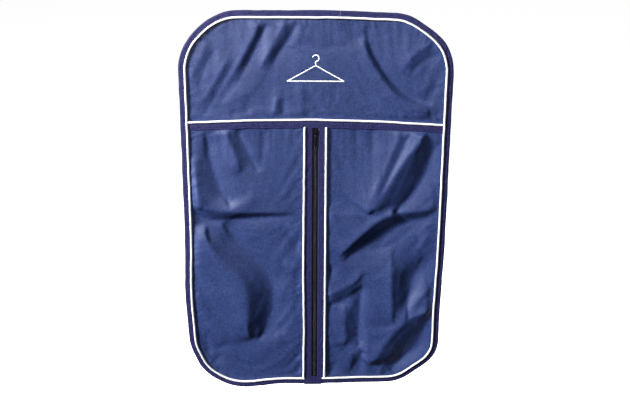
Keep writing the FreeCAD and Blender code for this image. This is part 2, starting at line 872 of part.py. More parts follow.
# ---------------------------------------------------------------------- checks
doc.recompute()
bad = [o.Name for o in doc.Objects if "Invalid" in o.State or "Error" in o.State]
if bad:
    raise RuntimeError("failed features: %s" % bad)
os.makedirs("parts", exist_ok=True)
for b in bodies:
    shape = b.Shape
    if shape.isNull() or not shape.isValid() or shape.Volume <= 0:
        raise RuntimeError("bad shape: %s" % b.Label)
print("%d sub-parts" % len(bodies))
for b in bodies:
    bb = b.Shape.BoundBox
    print(
        "%-24s solids %d  volume %9.1f  x %.2f..%.2f  y %.2f..%.2f  z %.2f..%.2f"
        % (b.Label, len(b.Shape.Solids), b.Shape.Volume, bb.XMin, bb.XMax, bb.YMin, bb.YMax, bb.ZMin, bb.ZMax)
    )
    b.Shape.exportStep("parts/%s.step" % b.Label)
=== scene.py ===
"""Looks of the garment bag: cloth, bindings, pipings, zip and stitching, built
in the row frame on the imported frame. Lengths in this file are millimetres in
flat pattern space (x across, z down from the hook slit, y to the back) until
put() turns them into metres in the hung shape."""

import math

import bpy
import numpy as np
from mathutils import Matrix, Vector


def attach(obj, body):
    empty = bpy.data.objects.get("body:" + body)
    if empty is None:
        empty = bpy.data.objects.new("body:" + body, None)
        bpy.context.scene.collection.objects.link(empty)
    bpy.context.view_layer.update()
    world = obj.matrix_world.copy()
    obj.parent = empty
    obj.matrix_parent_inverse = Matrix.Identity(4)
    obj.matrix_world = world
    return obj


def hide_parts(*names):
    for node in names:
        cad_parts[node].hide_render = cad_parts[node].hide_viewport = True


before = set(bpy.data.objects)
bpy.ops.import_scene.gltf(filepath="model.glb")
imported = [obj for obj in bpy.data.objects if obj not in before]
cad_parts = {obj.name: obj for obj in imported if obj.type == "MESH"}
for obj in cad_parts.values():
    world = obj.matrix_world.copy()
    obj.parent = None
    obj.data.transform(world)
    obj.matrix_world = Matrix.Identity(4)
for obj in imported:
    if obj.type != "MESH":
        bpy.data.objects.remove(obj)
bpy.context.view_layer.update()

# --------------------------------------------------------------------- camera
PITCH, ROLL, DIST = math.radians(17.0), math.radians(0.243), 1.885
cam_data = bpy.data.cameras.new("camera")
cam_data.sensor_width = 36.0
cam_data.lens = 49.35
cam_data.clip_end = 200.0
camera = bpy.data.objects.new("camera", cam_data)
bpy.context.collection.objects.link(camera)
fwd = Vector((0, math.cos(PITCH), -math.sin(PITCH)))
up0 = Vector((0, math.sin(PITCH), math.cos(PITCH)))
rx = Vector((1, 0, 0))
right = rx * math.cos(ROLL) + up0 * math.sin(ROLL)
up = -rx * math.sin(ROLL) + up0 * math.cos(ROLL)
camera.matrix_world = Matrix(
    (
        (right.x, up.x, -fwd.x, -0.0005),
        (right.y, up.y, -fwd.y, -1.8850),
        (right.z, up.z, -fwd.z, 0.1515),
        (0, 0, 0, 1),
    )
)
bpy.context.scene.camera = camera

# ------------------------------------------------------------- pattern outline
HALF, TALL, RT, RB = 300.0, 890.0, 130.0, 115.0
ARC_T, ARC_B = RT * math.pi / 2, RB * math.pi / 2
TOP, BOT, SIDE = 2 * (HALF - RT), 2 * (HALF - RB), TALL - RT - RB
STARTS = np.cumsum([0, ARC_T, TOP, ARC_T, SIDE, ARC_B, BOT, ARC_B, SIDE])
PER = STARTS[-1]


def smooth(t):
    t = np.clip(t, 0, 1)
    return t * t * (3 - 2 * t)


def ring(s):
    """Point and outward normal on the pattern's edge, s running
    counter-clockwise from the foot of the top right corner."""
    s = np.mod(np.asarray(s, float), PER)
    k = np.clip(np.searchsorted(STARTS, s, side="right") - 1, 0, 7)
    t = s - STARTS[k]
    p = np.zeros(s.shape + (2,))
    n = np.zeros(s.shape + (2,))

    def corner(which, cx, cz, r, a0):
        m = k == which
        a = a0 + t[m] / r
        n[m] = np.stack([np.cos(a), np.sin(a)], -1)
        p[m] = np.array([cx, cz]) + r * n[m]

    def run(which, x, z, dx, dz, nx, nz):
        m = k == which
        p[m] = np.stack([x + dx * t[m], z + dz * t[m]], -1)
        n[m] = (nx, nz)

    corner(0, HALF - RT, -RT, RT, 0)
    run(1, HALF - RT, 0, -1, 0, 0, 1)
    corner(2, RT - HALF, -RT, RT, math.pi / 2)
    run(3, -HALF, -RT, 0, -1, -1, 0)
    corner(4, RB - HALF, RB - TALL, RB, math.pi)
    run(5, RB - HALF, -TALL, 1, 0, 0, -1)
    corner(6, HALF - RB, RB - TALL, RB, 1.5 * math.pi)
    run(7, HALF, RB - TALL, 0, 1, 1, 0)
    return p, n


def inset(x, z):
    """Distance in from the pattern's edge, with the nearest edge's normal and s."""
    x, z = np.asarray(x, float), np.asarray(z, float)
    sides = np.stack([HALF - x, HALF + x, -z, z + TALL])
    d = sides.min(0)
    which = sides.argmin(0)
    nx = np.choose(which, [1.0, -1.0, 0.0, 0.0])
    nz = np.choose(which, [0.0, 0.0, 1.0, -1.0])
    s = np.choose(
        which,
        [
            STARTS[7] + (z + TALL - RB),
            STARTS[3] + (-RT - z),
            STARTS[1] + (HALF - RT - x),
            STARTS[5] + (x + HALF - RB),
        ],
    )
    for cx, cz, r, s0, a0, sx, sz in (
        (HALF - RT, -RT, RT, STARTS[0], 0.0, 1, 1),
        (RT - HALF, -RT, RT, STARTS[2], math.pi / 2, -1, 1),
        (RB - HALF, RB - TALL, RB, STARTS[4], math.pi, -1, -1),
        (HALF - RB, RB - TALL, RB, STARTS[6], 1.5 * math.pi, 1, -1),
    ):
        m = ((x - cx) * sx >= 0) & ((z - cz) * sz >= 0)
        q = np.hypot(x - cx, z - cz) + 1e-9
        a = np.mod(np.arctan2(z - cz, x - cx) - a0 + 0.01, 2 * math.pi) - 0.01
        d = np.where(m, r - q, d)
        nx = np.where(m, (x - cx) / q, nx)
        nz = np.where(m, (z - cz) / q, nz)
        s = np.where(m, s0 + r * np.clip(a, 0, math.pi / 2), s)
    return d, nx, nz, s


# Where the hung bag's edge leaves its pattern: place along the edge, reach
# and amount, out (+) or in (-).
EDGE = [
    (125, 62, -10),   # upper right corner, pulled in
    (230, 60, -3),
    (640, 62, -5),    # upper left corner
    (1270, 90, 5),    # lower left side, full
    (1440, 40, -4),
    (1592, 50, 9),    # foot of the lower left corner, sagging
    (1880, 75, -4),
    (2018, 62, -17),  # lower right corner, pulled in
    (2190, 110, -4),
]


def wander(s):
    g = 0.0
    for at, reach, much in EDGE:
        far = np.mod(s - at + PER / 2, PER) - PER / 2
        g = g + much * np.exp(-((far / reach) ** 2))
    return g


def shift(x, z):
    """Flat pattern point to its place across the hung bag."""
    d, nx, nz, s = inset(x, z)
    g = wander(s) * np.exp(-((np.maximum(d, 0) / 65) ** 2))
    # the yoke seam sags towards both sides
    seam = np.interp(x, [-290, -150, 0, 150, 290], [-5, 1, 3, -1, -8])
    dz = seam * np.exp(-(((z + 240) / 55) ** 2))
    # the pipings beside the zip don't hang quite straight
    left = np.interp(-z, [256, 600, 740, 892], [0, -3, -1, -3])
    ax = np.abs(x)
    w = smooth((ax - 6.6) / 12) * (1 - smooth((ax - 34) / 70)) * smooth((-z - 236) / 26)
    return x + nx * g + np.where(x < 0, left, 0.0) * w, z + nz * g + dz


def waves(count, lo, hi, seed):
    """A seeded sum of sines with wavelengths lo..hi mm, about -1..1."""
    r = np.random.default_rng(seed)
    lam = np.exp(r.uniform(math.log(lo), math.log(hi), count))
    ang = r.uniform(0, 2 * math.pi, count)
    ph = r.uniform(0, 2 * math.pi, count)
    kx, kz = 2 * math.pi / lam * np.cos(ang), 2 * math.pi / lam * np.sin(ang)
    amp = lam**0.6
    amp = amp / math.sqrt((amp**2).sum() / 2) * 0.6

    def f(x, z=0.0):
        out = np.zeros(np.broadcast(x, z).shape)
        for i in range(count):
            out += amp[i] * np.sin(kx[i] * x + kz[i] * z + ph[i])
        return out

    return f


def wobble(lo, hi, seed, count=14):
    """The same along one line."""
    r = np.random.default_rng(seed)
    lam = np.exp(r.uniform(math.log(lo), math.log(hi), count))
    ph = r.uniform(0, 2 * math.pi, count)
    amp = lam**0.5
    amp = amp / math.sqrt((amp**2).sum() / 2) * 0.6

    def f(s):
        s = np.asarray(s, float)
        out = np.zeros(s.shape)
        for i in range(count):
            out += amp[i] * np.sin(2 * math.pi / lam[i] * s + ph[i])
        return out

    return f


_roll = waves(7, 260, 620, 5)


def sway(x, z):
    """Slow bowing of the whole bag towards the viewer, none at the zip."""
    return 2.2 * _roll(x, z) * smooth((np.abs(x) - 30) / 150)


# ------------------------------------------------------------------- creases
# Each fold line in the front cloth: name, panel (Y yoke, L left, R right),
# height towards the viewer, width of its left and right flank, rounding of
# its ridge, the share of its length that fades in and out, and its line.
CREASES = [
    ("A5", "Y", -3, 10, 10, 3, 0.30, 0.30, [(-165, -139), (-192, -176), (-215, -207)]),
    ("A6", "Y", 4, 14, 5, 3, 0.30, 0.00, [(-83, -182), (-87, -205), (-96, -236)]),
    ("A6b", "Y", -4, 8, 8, 3, 0.30, 0.00, [(-76, -187), (-70, -209), (-74, -236)]),
    ("A6c", "Y", 3, 8, 30, 3, 0.40, 0.00, [(-32, -145), (-30, -189), (-32, -236)]),
    ("A9", "Y", -4, 8, 10, 3, 0.30, 0.00, [(231, -118), (258, -139), (285, -157)]),
    ("A9b", "Y", -4, 8, 10, 3, 0.30, 0.00, [(241, -166), (264, -183), (287, -201)]),
    ("A11", "Y", 3, 12, 30, 3, 0.00, 0.40, [(-32, -20), (-34, -54), (-56, -84)]),
    ("A12", "Y", 2, 20, 20, 3, 0.40, 0.40, [(-67, -89), (-117, -110), (-143, -106)]),
    ("A10", "Y", -3, 12, 16, 3, 0.10, 0.30, [(62, -20), (90, -50), (108, -71)]),
    ("Ae1", "Y", 2, 6, 6, 3, 0.00, 0.60, [(162, -237), (168, -215)]),
    ("Ae2", "Y", 2, 6, 6, 3, 0.00, 0.60, [(191, -239), (195, -212)]),
    ("Ae3", "Y", 2, 6, 6, 3, 0.00, 0.60, [(227, -241), (228, -214)]),
    ("Ae4", "Y", -2, 6, 6, 3, 0.00, 0.60, [(-176, -236), (-184, -212)]),
    ("Ae5", "Y", -2, 7, 9, 3, 0.00, 0.60, [(-160, -236), (-149, -203), (-144, -176)]),
    ("B1b", "L", 3, 10, 16, 3, 0.00, 0.00, [(-283, -389), (-266, -419), (-249, -443)]),
    ("B2b", "L", 4, 30, 12, 3, 0.00, 0.40, [(-165, -257), (-146, -302), (-120, -353)]),
    ("B3", "L", -3, 9, 9, 3, 0.00, 0.60, [(-110, -256), (-113, -306), (-118, -343)]),
    ("B6b", "L", -4, 7, 7, 3, 0.50, 0.00, [(-58, -520), (-28, -551)]),
    ("B7", "L", 4, 50, 10, 3, 0.30, 0.00, [(-102, -774), (-28, -776)]),
    ("B7b", "L", -3, 7, 7, 3, 0.40, 0.30, [(-85, -726), (-76, -763)]),
    ("B8b", "L", -3, 6, 6, 3, 0.20, 0.30, [(-28, -805), (-59, -840), (-74, -864)]),
    ("B8c", "L", -4, 7, 7, 3, 0.00, 0.00, [(-28, -842), (-45, -869)]),
    ("B9", "L", -4, 8, 8, 3, 0.30, 0.10, [(-264, -753), (-254, -801), (-266, -817)]),
    ("B9b", "L", -3, 7, 7, 3, 0.50, 0.00, [(-218, -809), (-243, -838)]),
    ("B9c", "L", -2, 8, 8, 3, 0.30, 0.30, [(-190, -763), (-217, -787), (-242, -806)]),
    ("B10", "L", 4, 40, 60, 3, 0.10, 0.10, [(-294, -666), (-199, -645), (-28, -649)]),
    ("C1", "R", -2, 9, 9, 3, 0.00, 0.50, [(85, -253), (99, -301)]),
    ("C1b", "R", -3, 9, 9, 3, 0.00, 0.50, [(125, -255), (134, -324)]),
    ("C2f", "R", 3, 40, 40, 3, 0.00, 0.10, [(279, -264), (261, -328), (215, -398), (175, -451)]),
    ("C2d", "R", -3, 9, 9, 3, 0.00, 0.50, [(284, -328), (254, -360), (223, -379)]),
    ("C2e", "R", 3, 12, 9, 3, 0.00, 0.50, [(287, -388), (256, -422)]),
    ("C3l", "R", 4, 10, 30, 3, 0.00, 0.40, [(29, -456), (75, -458), (121, -463)]),
    ("C4", "R", 4, 30, 12, 3, 0.20, 0.40, [(276, -460), (251, -508), (246, -563)]),
    ("C5", "R", -4, 7, 7, 3, 0.00, 0.50, [(26, -613), (49, -578)]),
    ("C5b", "R", -2, 7, 7, 3, 0.00, 0.50, [(25, -519), (48, -490)]),
    ("C6c", "R", -3, 8, 8, 3, 0.40, 0.40, [(61, -805), (90, -781)]),
    ("C7b", "R", 4, 24, 9, 3, 0.30, 0.00, [(124, -715), (126, -786), (125, -869)]),
    ("C8d", "R", 3, 40, 40, 3, 0.30, 0.30, [(165, -573), (144, -669), (138, -786)]),
    ("C8b", "R", -5, 18, 18, 3, 0.00, 0.30, [(281, -572), (241, -597), (205, -648)]),
    ("C8c", "R", 5, 16, 16, 3, 0.00, 0.20, [(293, -617), (248, -663), (198, -725)]),
    ("C9c", "R", 4, 12, 12, 3, 0.30, 0.00, [(214, -788), (181, -809), (159, -863)]),
    ("C10", "R", -4, 7, 7, 3, 0.40, 0.00, [(105, -820), (86, -869)]),
    ("C10b", "R", -4, 7, 7, 3, 0.40, 0.00, [(57, -826), (35, -869)]),
    ("C11b", "R", -2, 6, 6, 3, 0.20, 0.00, [(215, -820), (228, -841)]),
]
# Each broad facet between a ridge and a valley: name, panel, height of the
# ridge and of the valley, how far each dies away outside the facet, the share
# of its length that fades in and out, the ridge and the valley.
FACETS = [
    ("S1", "L", 10, -9.5, 60, 34, 0.18, 0.1,
     [(-250, -481), (-247, -520), (-234, -550), (-193, -592), (-166, -627), (-162, -675), (-159, -732), (-147, -774)],
     [(-214, -481), (-200, -501), (-167, -542), (-116, -592), (-98, -644), (-99, -701), (-118, -740), (-140, -776)]),
    ("S2", "L", 6, -4.5, 70, 16, 0.05, 0.2,
     [(-290, -442), (-263, -442), (-236, -449), (-172, -451), (-103, -453), (-32, -454)],
     [(-290, -450), (-254, -465), (-232, -475), (-172, -470), (-103, -465), (-32, -460)]),
    ("S3", "L", 5, -7, 30, 34, 0.3, 0.22,
     [(-278, -307), (-277, -342), (-270, -400), (-254, -445)],
     [(-250, -261), (-238, -318), (-220, -388), (-194, -445)]),
    ("S3b", "L", 4.5, -5, 26, 24, 0.08, 0.35,
     [(-201, -257), (-184, -307), (-163, -358)],
     [(-176, -257), (-153, -307), (-131, -362)]),
    ("S4", "R", 9, -8, 40, 36, 0.14, 0.12,
     [(250, -259), (194, -335), (154, -408), (121, -456)],
     [(279, -282), (254, -356), (215, -417), (176, -453)]),
    ("S5", "R", 8, -7, 50, 36, 0.08, 0.12,
     [(285, -438), (251, -448), (194, -453), (162, -460), (133, -480), (108, -504), (81, -534), (56, -563)],
     [(285, -453), (258, -465), (222, -472), (190, -487), (161, -509), (127, -529), (93, -548), (61, -573)]),
    ("S6", "R", 7, -7, 34, 24, 0.35, 0.3,
     [(183, -538), (178, -605), (180, -669), (189, -730)],
     [(253, -553), (230, -618), (220, -673), (217, -730)]),
    ("S7", "R", 10, -9, 40, 26, 0.12, 0.12,
     [(289, -691), (231, -709), (194, -741), (166, -783), (134, -842)],
     [(289, -740), (267, -777), (230, -820), (183, -863)]),
    ("S8", "R", 3.6, -2.6, 26, 16, 0, 0.3,
     [(26, -662), (71, -638), (101, -618), (117, -598)],
     [(34, -687), (71, -669), (97, -654), (111, -631)]),
    ("S8b", "R", 3.5, -4.5, 24, 12, 0.25, 0.2,
     [(74, -679), (70, -726), (75, -789)],
     [(108, -623), (107, -700), (102, -794)]),
    ("S8c", "R", 2.2, -3, 16, 10, 0.2, 0.1,
     [(90, -804), (88, -836), (84, -871)],
     [(112, -799), (110, -831), (106, -871)]),
    ("S9", "Y", 5.5, -5, 44, 30, 0.2, 0.12,
     [(99, -54), (115, -101), (140, -140), (167, -175), (203, -199), (256, -212)],
     [(105, -28), (112, -71), (137, -116), (173, -161), (209, -186), (260, -201)]),
    ("S10", "Y", 3.2, -3.0, 26, 22, 0.15, 0.4,
     [(-115, -21), (-142, -68), (-164, -111), (-196, -167)],
     [(-103, -21), (-125, -67), (-147, -111), (-183, -172)]),
    ("S11", "Y", 3.2, -2.8, 26, 24, 0.15, 0.4,
     [(-62, -21), (-84, -59), (-103, -93), (-117, -128)],
     [(-41, -21), (-58, -59), (-80, -89), (-104, -128)]),
    ("S12", "Y", 1.7, -1.6, 22, 18, 0.35, 0.4,
     [(-177, -76), (-206, -132), (-236, -181), (-264, -221)],
     [(-166, -85), (-196, -141), (-225, -190), (-255, -230)]),
    ("S13", "Y", 2.6, -2.4, 22, 18, 0.2, 0.4,
     [(261, -66), (227, -79), (202, -105), (186, -140)],
     [(271, -91), (243, -100), (218, -120), (197, -148)]),
    ("S14", "Y", 1.6, -1.6, 16, 16, 0.35, 0.4,
     [(-232, -64), (-256, -111), (-275, -159)],
     [(-217, -72), (-241, -120), (-260, -172)]),
    ("S15", "L", 1.5, -2, 16, 12, 0.35, 0.1,
     [(-71, -481), (-48, -493), (-28, -505)],
     [(-81, -500), (-55, -517), (-28, -534)]),
    ("S16", "L", 1.5, -2, 16, 12, 0.35, 0.1,
     [(-77, -574), (-53, -589), (-28, -594)],
     [(-81, -594), (-58, -614), (-28, -621)]),
    ("S17", "R", 1.8, -2.4, 20, 14, 0.1, 0.25,
     [(192, -260), (171, -314), (150, -368), (127, -434)],
     [(210, -262), (187, -319), (164, -372), (136, -441)]),
]
STEP = 2.5
GX = np.arange(-300, 300 + STEP / 2, STEP)
GZ = np.arange(-890, 0 + STEP / 2, STEP)


def soften(points):
    p = [np.array(q, float) for q in points]
    for _ in range(2):
        q = [p[0]]
        for a, b in zip(p, p[1:]):
            q += [a * 0.75 + b * 0.25, a * 0.25 + b * 0.75]
        q.append(p[-1])
        p = q
    return np.array(p)


def make_relief():
    x, z = np.meshgrid(GX, GZ)
    d = inset(x, z)[0]
    e = smooth((d - 16) / 20)
    mask = {
        "Y": (z > -240) * e * smooth((z + 237) / 16),
        "L": (z < -256) * (x < 0) * e * smooth((-257 - z) / 12) * smooth((-26 - x) / 14),
        "R": (z < -256) * (x > 0) * e * smooth((-257 - z) / 12) * smooth((x - 26) / 14),
    }
    h = np.zeros_like(x)

    def nearest(line):
        p = soften(line)
        seg = np.hypot(*np.diff(p, axis=0).T)
        cum = np.r_[0, np.cumsum(seg)]
        best = np.full(x.shape, 1e9)
        sign = np.zeros(x.shape)
        along = np.zeros(x.shape)
        for i in range(len(p) - 1):
            a, v = p[i], p[i + 1] - p[i]
            t = np.clip(((x - a[0]) * v[0] + (z - a[1]) * v[1]) / (v @ v), 0, 1)
            qx, qz = x - (a[0] + t * v[0]), z - (a[1] + t * v[1])
            r = np.hypot(qx, qz)
            near = r < best
            best = np.where(near, r, best)
            sign = np.where(near, np.where(v[0] * qz - v[1] * qx >= 0, 1.0, -1.0), sign)
            along = np.where(near, (cum[i] + t * seg[i]) / cum[-1], along)
        return best, sign, along

    for name, panel, hr, hv, wr_, wv, fade0, fade1, ridge, valley in FACETS:
        dr, _, tr = nearest(ridge)
        dv, _, tv = nearest(valley)
        r, v = soften(ridge), soften(valley)[::-1]
        ring_ = np.vstack([r, v])
        at = np.r_[np.linspace(0, 1, len(r)), np.linspace(1, 0, len(v))]
        side = np.r_[np.zeros(len(r)), np.ones(len(v))]
        within = np.zeros(x.shape, bool)
        off = np.full(x.shape, 1e9)
        u, t = np.zeros(x.shape), np.zeros(x.shape)
        for i in range(len(ring_)):
            j = (i + 1) % len(ring_)
            (ax_, az_), (bx_, bz_) = ring_[i], ring_[j]
            if az_ != bz_:
                cut = (az_ > z) != (bz_ > z)
                within ^= cut & (x < (bx_ - ax_) * (z - az_) / (bz_ - az_) + ax_)
            e_ = np.array([bx_ - ax_, bz_ - az_])
            k = np.clip(((x - ax_) * e_[0] + (z - az_) * e_[1]) / (e_ @ e_ + 1e-9), 0, 1)
            q = np.hypot(x - ax_ - k * e_[0], z - az_ - k * e_[1])
            near = q < off
            off = np.where(near, q, off)
            u = np.where(near, side[i] + k * (side[j] - side[i]), u)
            t = np.where(near, at[i] + k * (at[j] - at[i]), t)
        across = dr / (dr + dv + 1e-6)
        u = np.where(within, across, u)
        t = np.where(within, (1 - across) * tr + across * tv, t)
        off = np.where(within, 0, off)
        # a narrow stretch is shallower, so no flank is steeper than cloth hangs
        line_r, line_v = soften(ridge), soften(valley)
        gap = np.array([np.hypot(*(line_v - q).T).min() for q in line_r])
        most = 0.8 * gap / ((hr - hv) * FACET_GAIN)
        most = np.convolve(np.pad(np.clip(most, 0, 1), 1, mode="edge"), (0.25, 0.5, 0.25), "valid")
        m = mask[panel] * np.interp(t, np.linspace(0, 1, len(most)), most)
        if fade0:
            m *= smooth(t / fade0)
        if fade1:
            m *= smooth((1 - t) / fade1)
        h += FACET_GAIN * m * ((1 - u) * hr * np.exp(-off / wr_) + u * hv * np.exp(-off / wv))
    for name, panel, tall, wl, wr, rnd, fade0, fade1, line in CREASES:
        best, sign, along = nearest(line)
        m = mask[panel].copy()
        if fade0:
            m *= smooth(along / fade0)
        if fade1:
            m *= smooth((1 - along) / fade1)
        w = wr + (wl - wr) * smooth(sign * best / 8 + 0.5)
        h += RELIEF_GAIN * tall * m * np.exp(-(np.sqrt(best**2 + rnd**2) - rnd) / w)

    def soft(a, sigma):
        n = int(3 * sigma) + 1
        k = np.exp(-(np.arange(-n, n + 1) ** 2) / (2 * sigma**2))
        k /= k.sum()
        for axis in (0, 1):
            a = np.apply_along_axis(lambda v: np.convolve(np.pad(v, n, mode="edge"), k, "valid"), axis, a)
        return a

    # the broad swell is mostly taken out, which leaves the folds their depth
    every = mask["Y"] + mask["L"] + mask["R"]
    broad = soft(h, 60 / STEP) / np.maximum(soft(every, 60 / STEP), 0.25)
    h = h - 0.45 * broad * every
    return soft(h, 1.15)


RELIEF_GAIN, FACET_GAIN = 0.8, 1.45
RELIEF = make_relief()


def sample(grid, x, z):
    """Smooth (Catmull-Rom) reading of a grid on GX, GZ."""
    u = np.clip((x - GX[0]) / STEP, 0, len(GX) - 1.001)
    v = np.clip((z - GZ[0]) / STEP, 0, len(GZ) - 1.001)
    i, j = np.floor(u).astype(int), np.floor(v).astype(int)
    fu, fv = u - i, v - j

    def w(f):
        return (
            -0.5 * f + f * f - 0.5 * f**3,
            1 - 2.5 * f * f + 1.5 * f**3,
            0.5 * f + 2 * f * f - 1.5 * f**3,
            -0.5 * f * f + 0.5 * f**3,
        )

    wu, wv = w(fu), w(fv)
    out = np.zeros(np.shape(u))
    for b in range(4):
        jj = np.clip(j + b - 1, 0, len(GZ) - 1)
        row = 0
        for a in range(4):
            row = row + wu[a] * grid[jj, np.clip(i + a - 1, 0, len(GX) - 1)]
        out += wv[b] * row
    return out


# Small gathers: short ridges that leave a seam at right angles and die out.
_along_edge = wobble(11, 44, 11, 22)
_along_edge2 = wobble(16, 60, 12, 18)
_along_zip = [wobble(12, 46, 13, 20), wobble(12, 46, 14, 20)]
_along_yoke = [wobble(11, 40, 15, 20), wobble(12, 40, 16, 20)]
_fine = waves(40, 22, 90, 21)
_reach = [wobble(60, 200, 31, 10), wobble(60, 200, 32, 10), wobble(60, 200, 33, 10)]


def small(x, z):
    """Puckers along the seams and a little unrest everywhere, in mm."""
    d, nx, nz, s = inset(x, z)
    ax = np.abs(x)
    q = np.maximum(d - 17.5, 0)
    h = 0.6 * _along_edge(s + 0.35 * d) * smooth(q / 5) * np.exp(-q / (13 + 6 * _reach[0](s)).clip(6))
    on_front = z < -256
    q = np.maximum(ax - 26.5, 0)
    sel = np.where(x < 0, _along_zip[0](z + 0.55 * ax), _along_zip[1](z - 0.55 * ax))
    h = h + on_front * 0.75 * sel * smooth(q / 5) * np.exp(-q / (14 + 6 * _reach[1](z)).clip(6))
    q = np.where(on_front, -256 - z, z + 237)
    q = np.maximum(q, 0)
    sel = np.where(on_front, _along_yoke[0](x), _along_yoke[1](x + 0.3 * z))
    h = h + 0.36 * sel * smooth(q / 9) * np.exp(-q / (17 + 6 * _reach[2](x)).clip(8))
    inner = smooth((d - 16) / 14) * np.where(on_front, smooth((ax - 26) / 14) * smooth((-257 - z) / 12), smooth((z + 237) / 12))
    h = h * smooth((d - 16.5) / 4)
    return h + 0.22 * _fine(x, z) * inner


def face(x, z, extra=0.0):
    """Height of the front cloth's face over its flat place, towards the viewer.
    It stays within the bag's depth and off the back."""
    h = sample(RELIEF, x, z) + small(x, z) + extra
    h = np.where(h > 8, 8 + 4.5 * np.tanh((h - 8) / 4.5), h)
    deep = np.maximum(10.0 * smooth((inset(x, z)[0] - 13) / 47) - 0.2, 0.25)
    return np.where(h < 0, -deep * np.tanh(-h / deep), h)


def put(x, z, y, lift=0.0):
    """Flat pattern point, y to the back and lift to the viewer, in metres."""
    x, z, y = np.broadcast_arrays(np.asarray(x, float), np.asarray(z, float), np.asarray(y, float))
    px, pz = shift(x, z)
    return np.stack([px, y - lift - sway(x, z), pz], -1) * 0.001


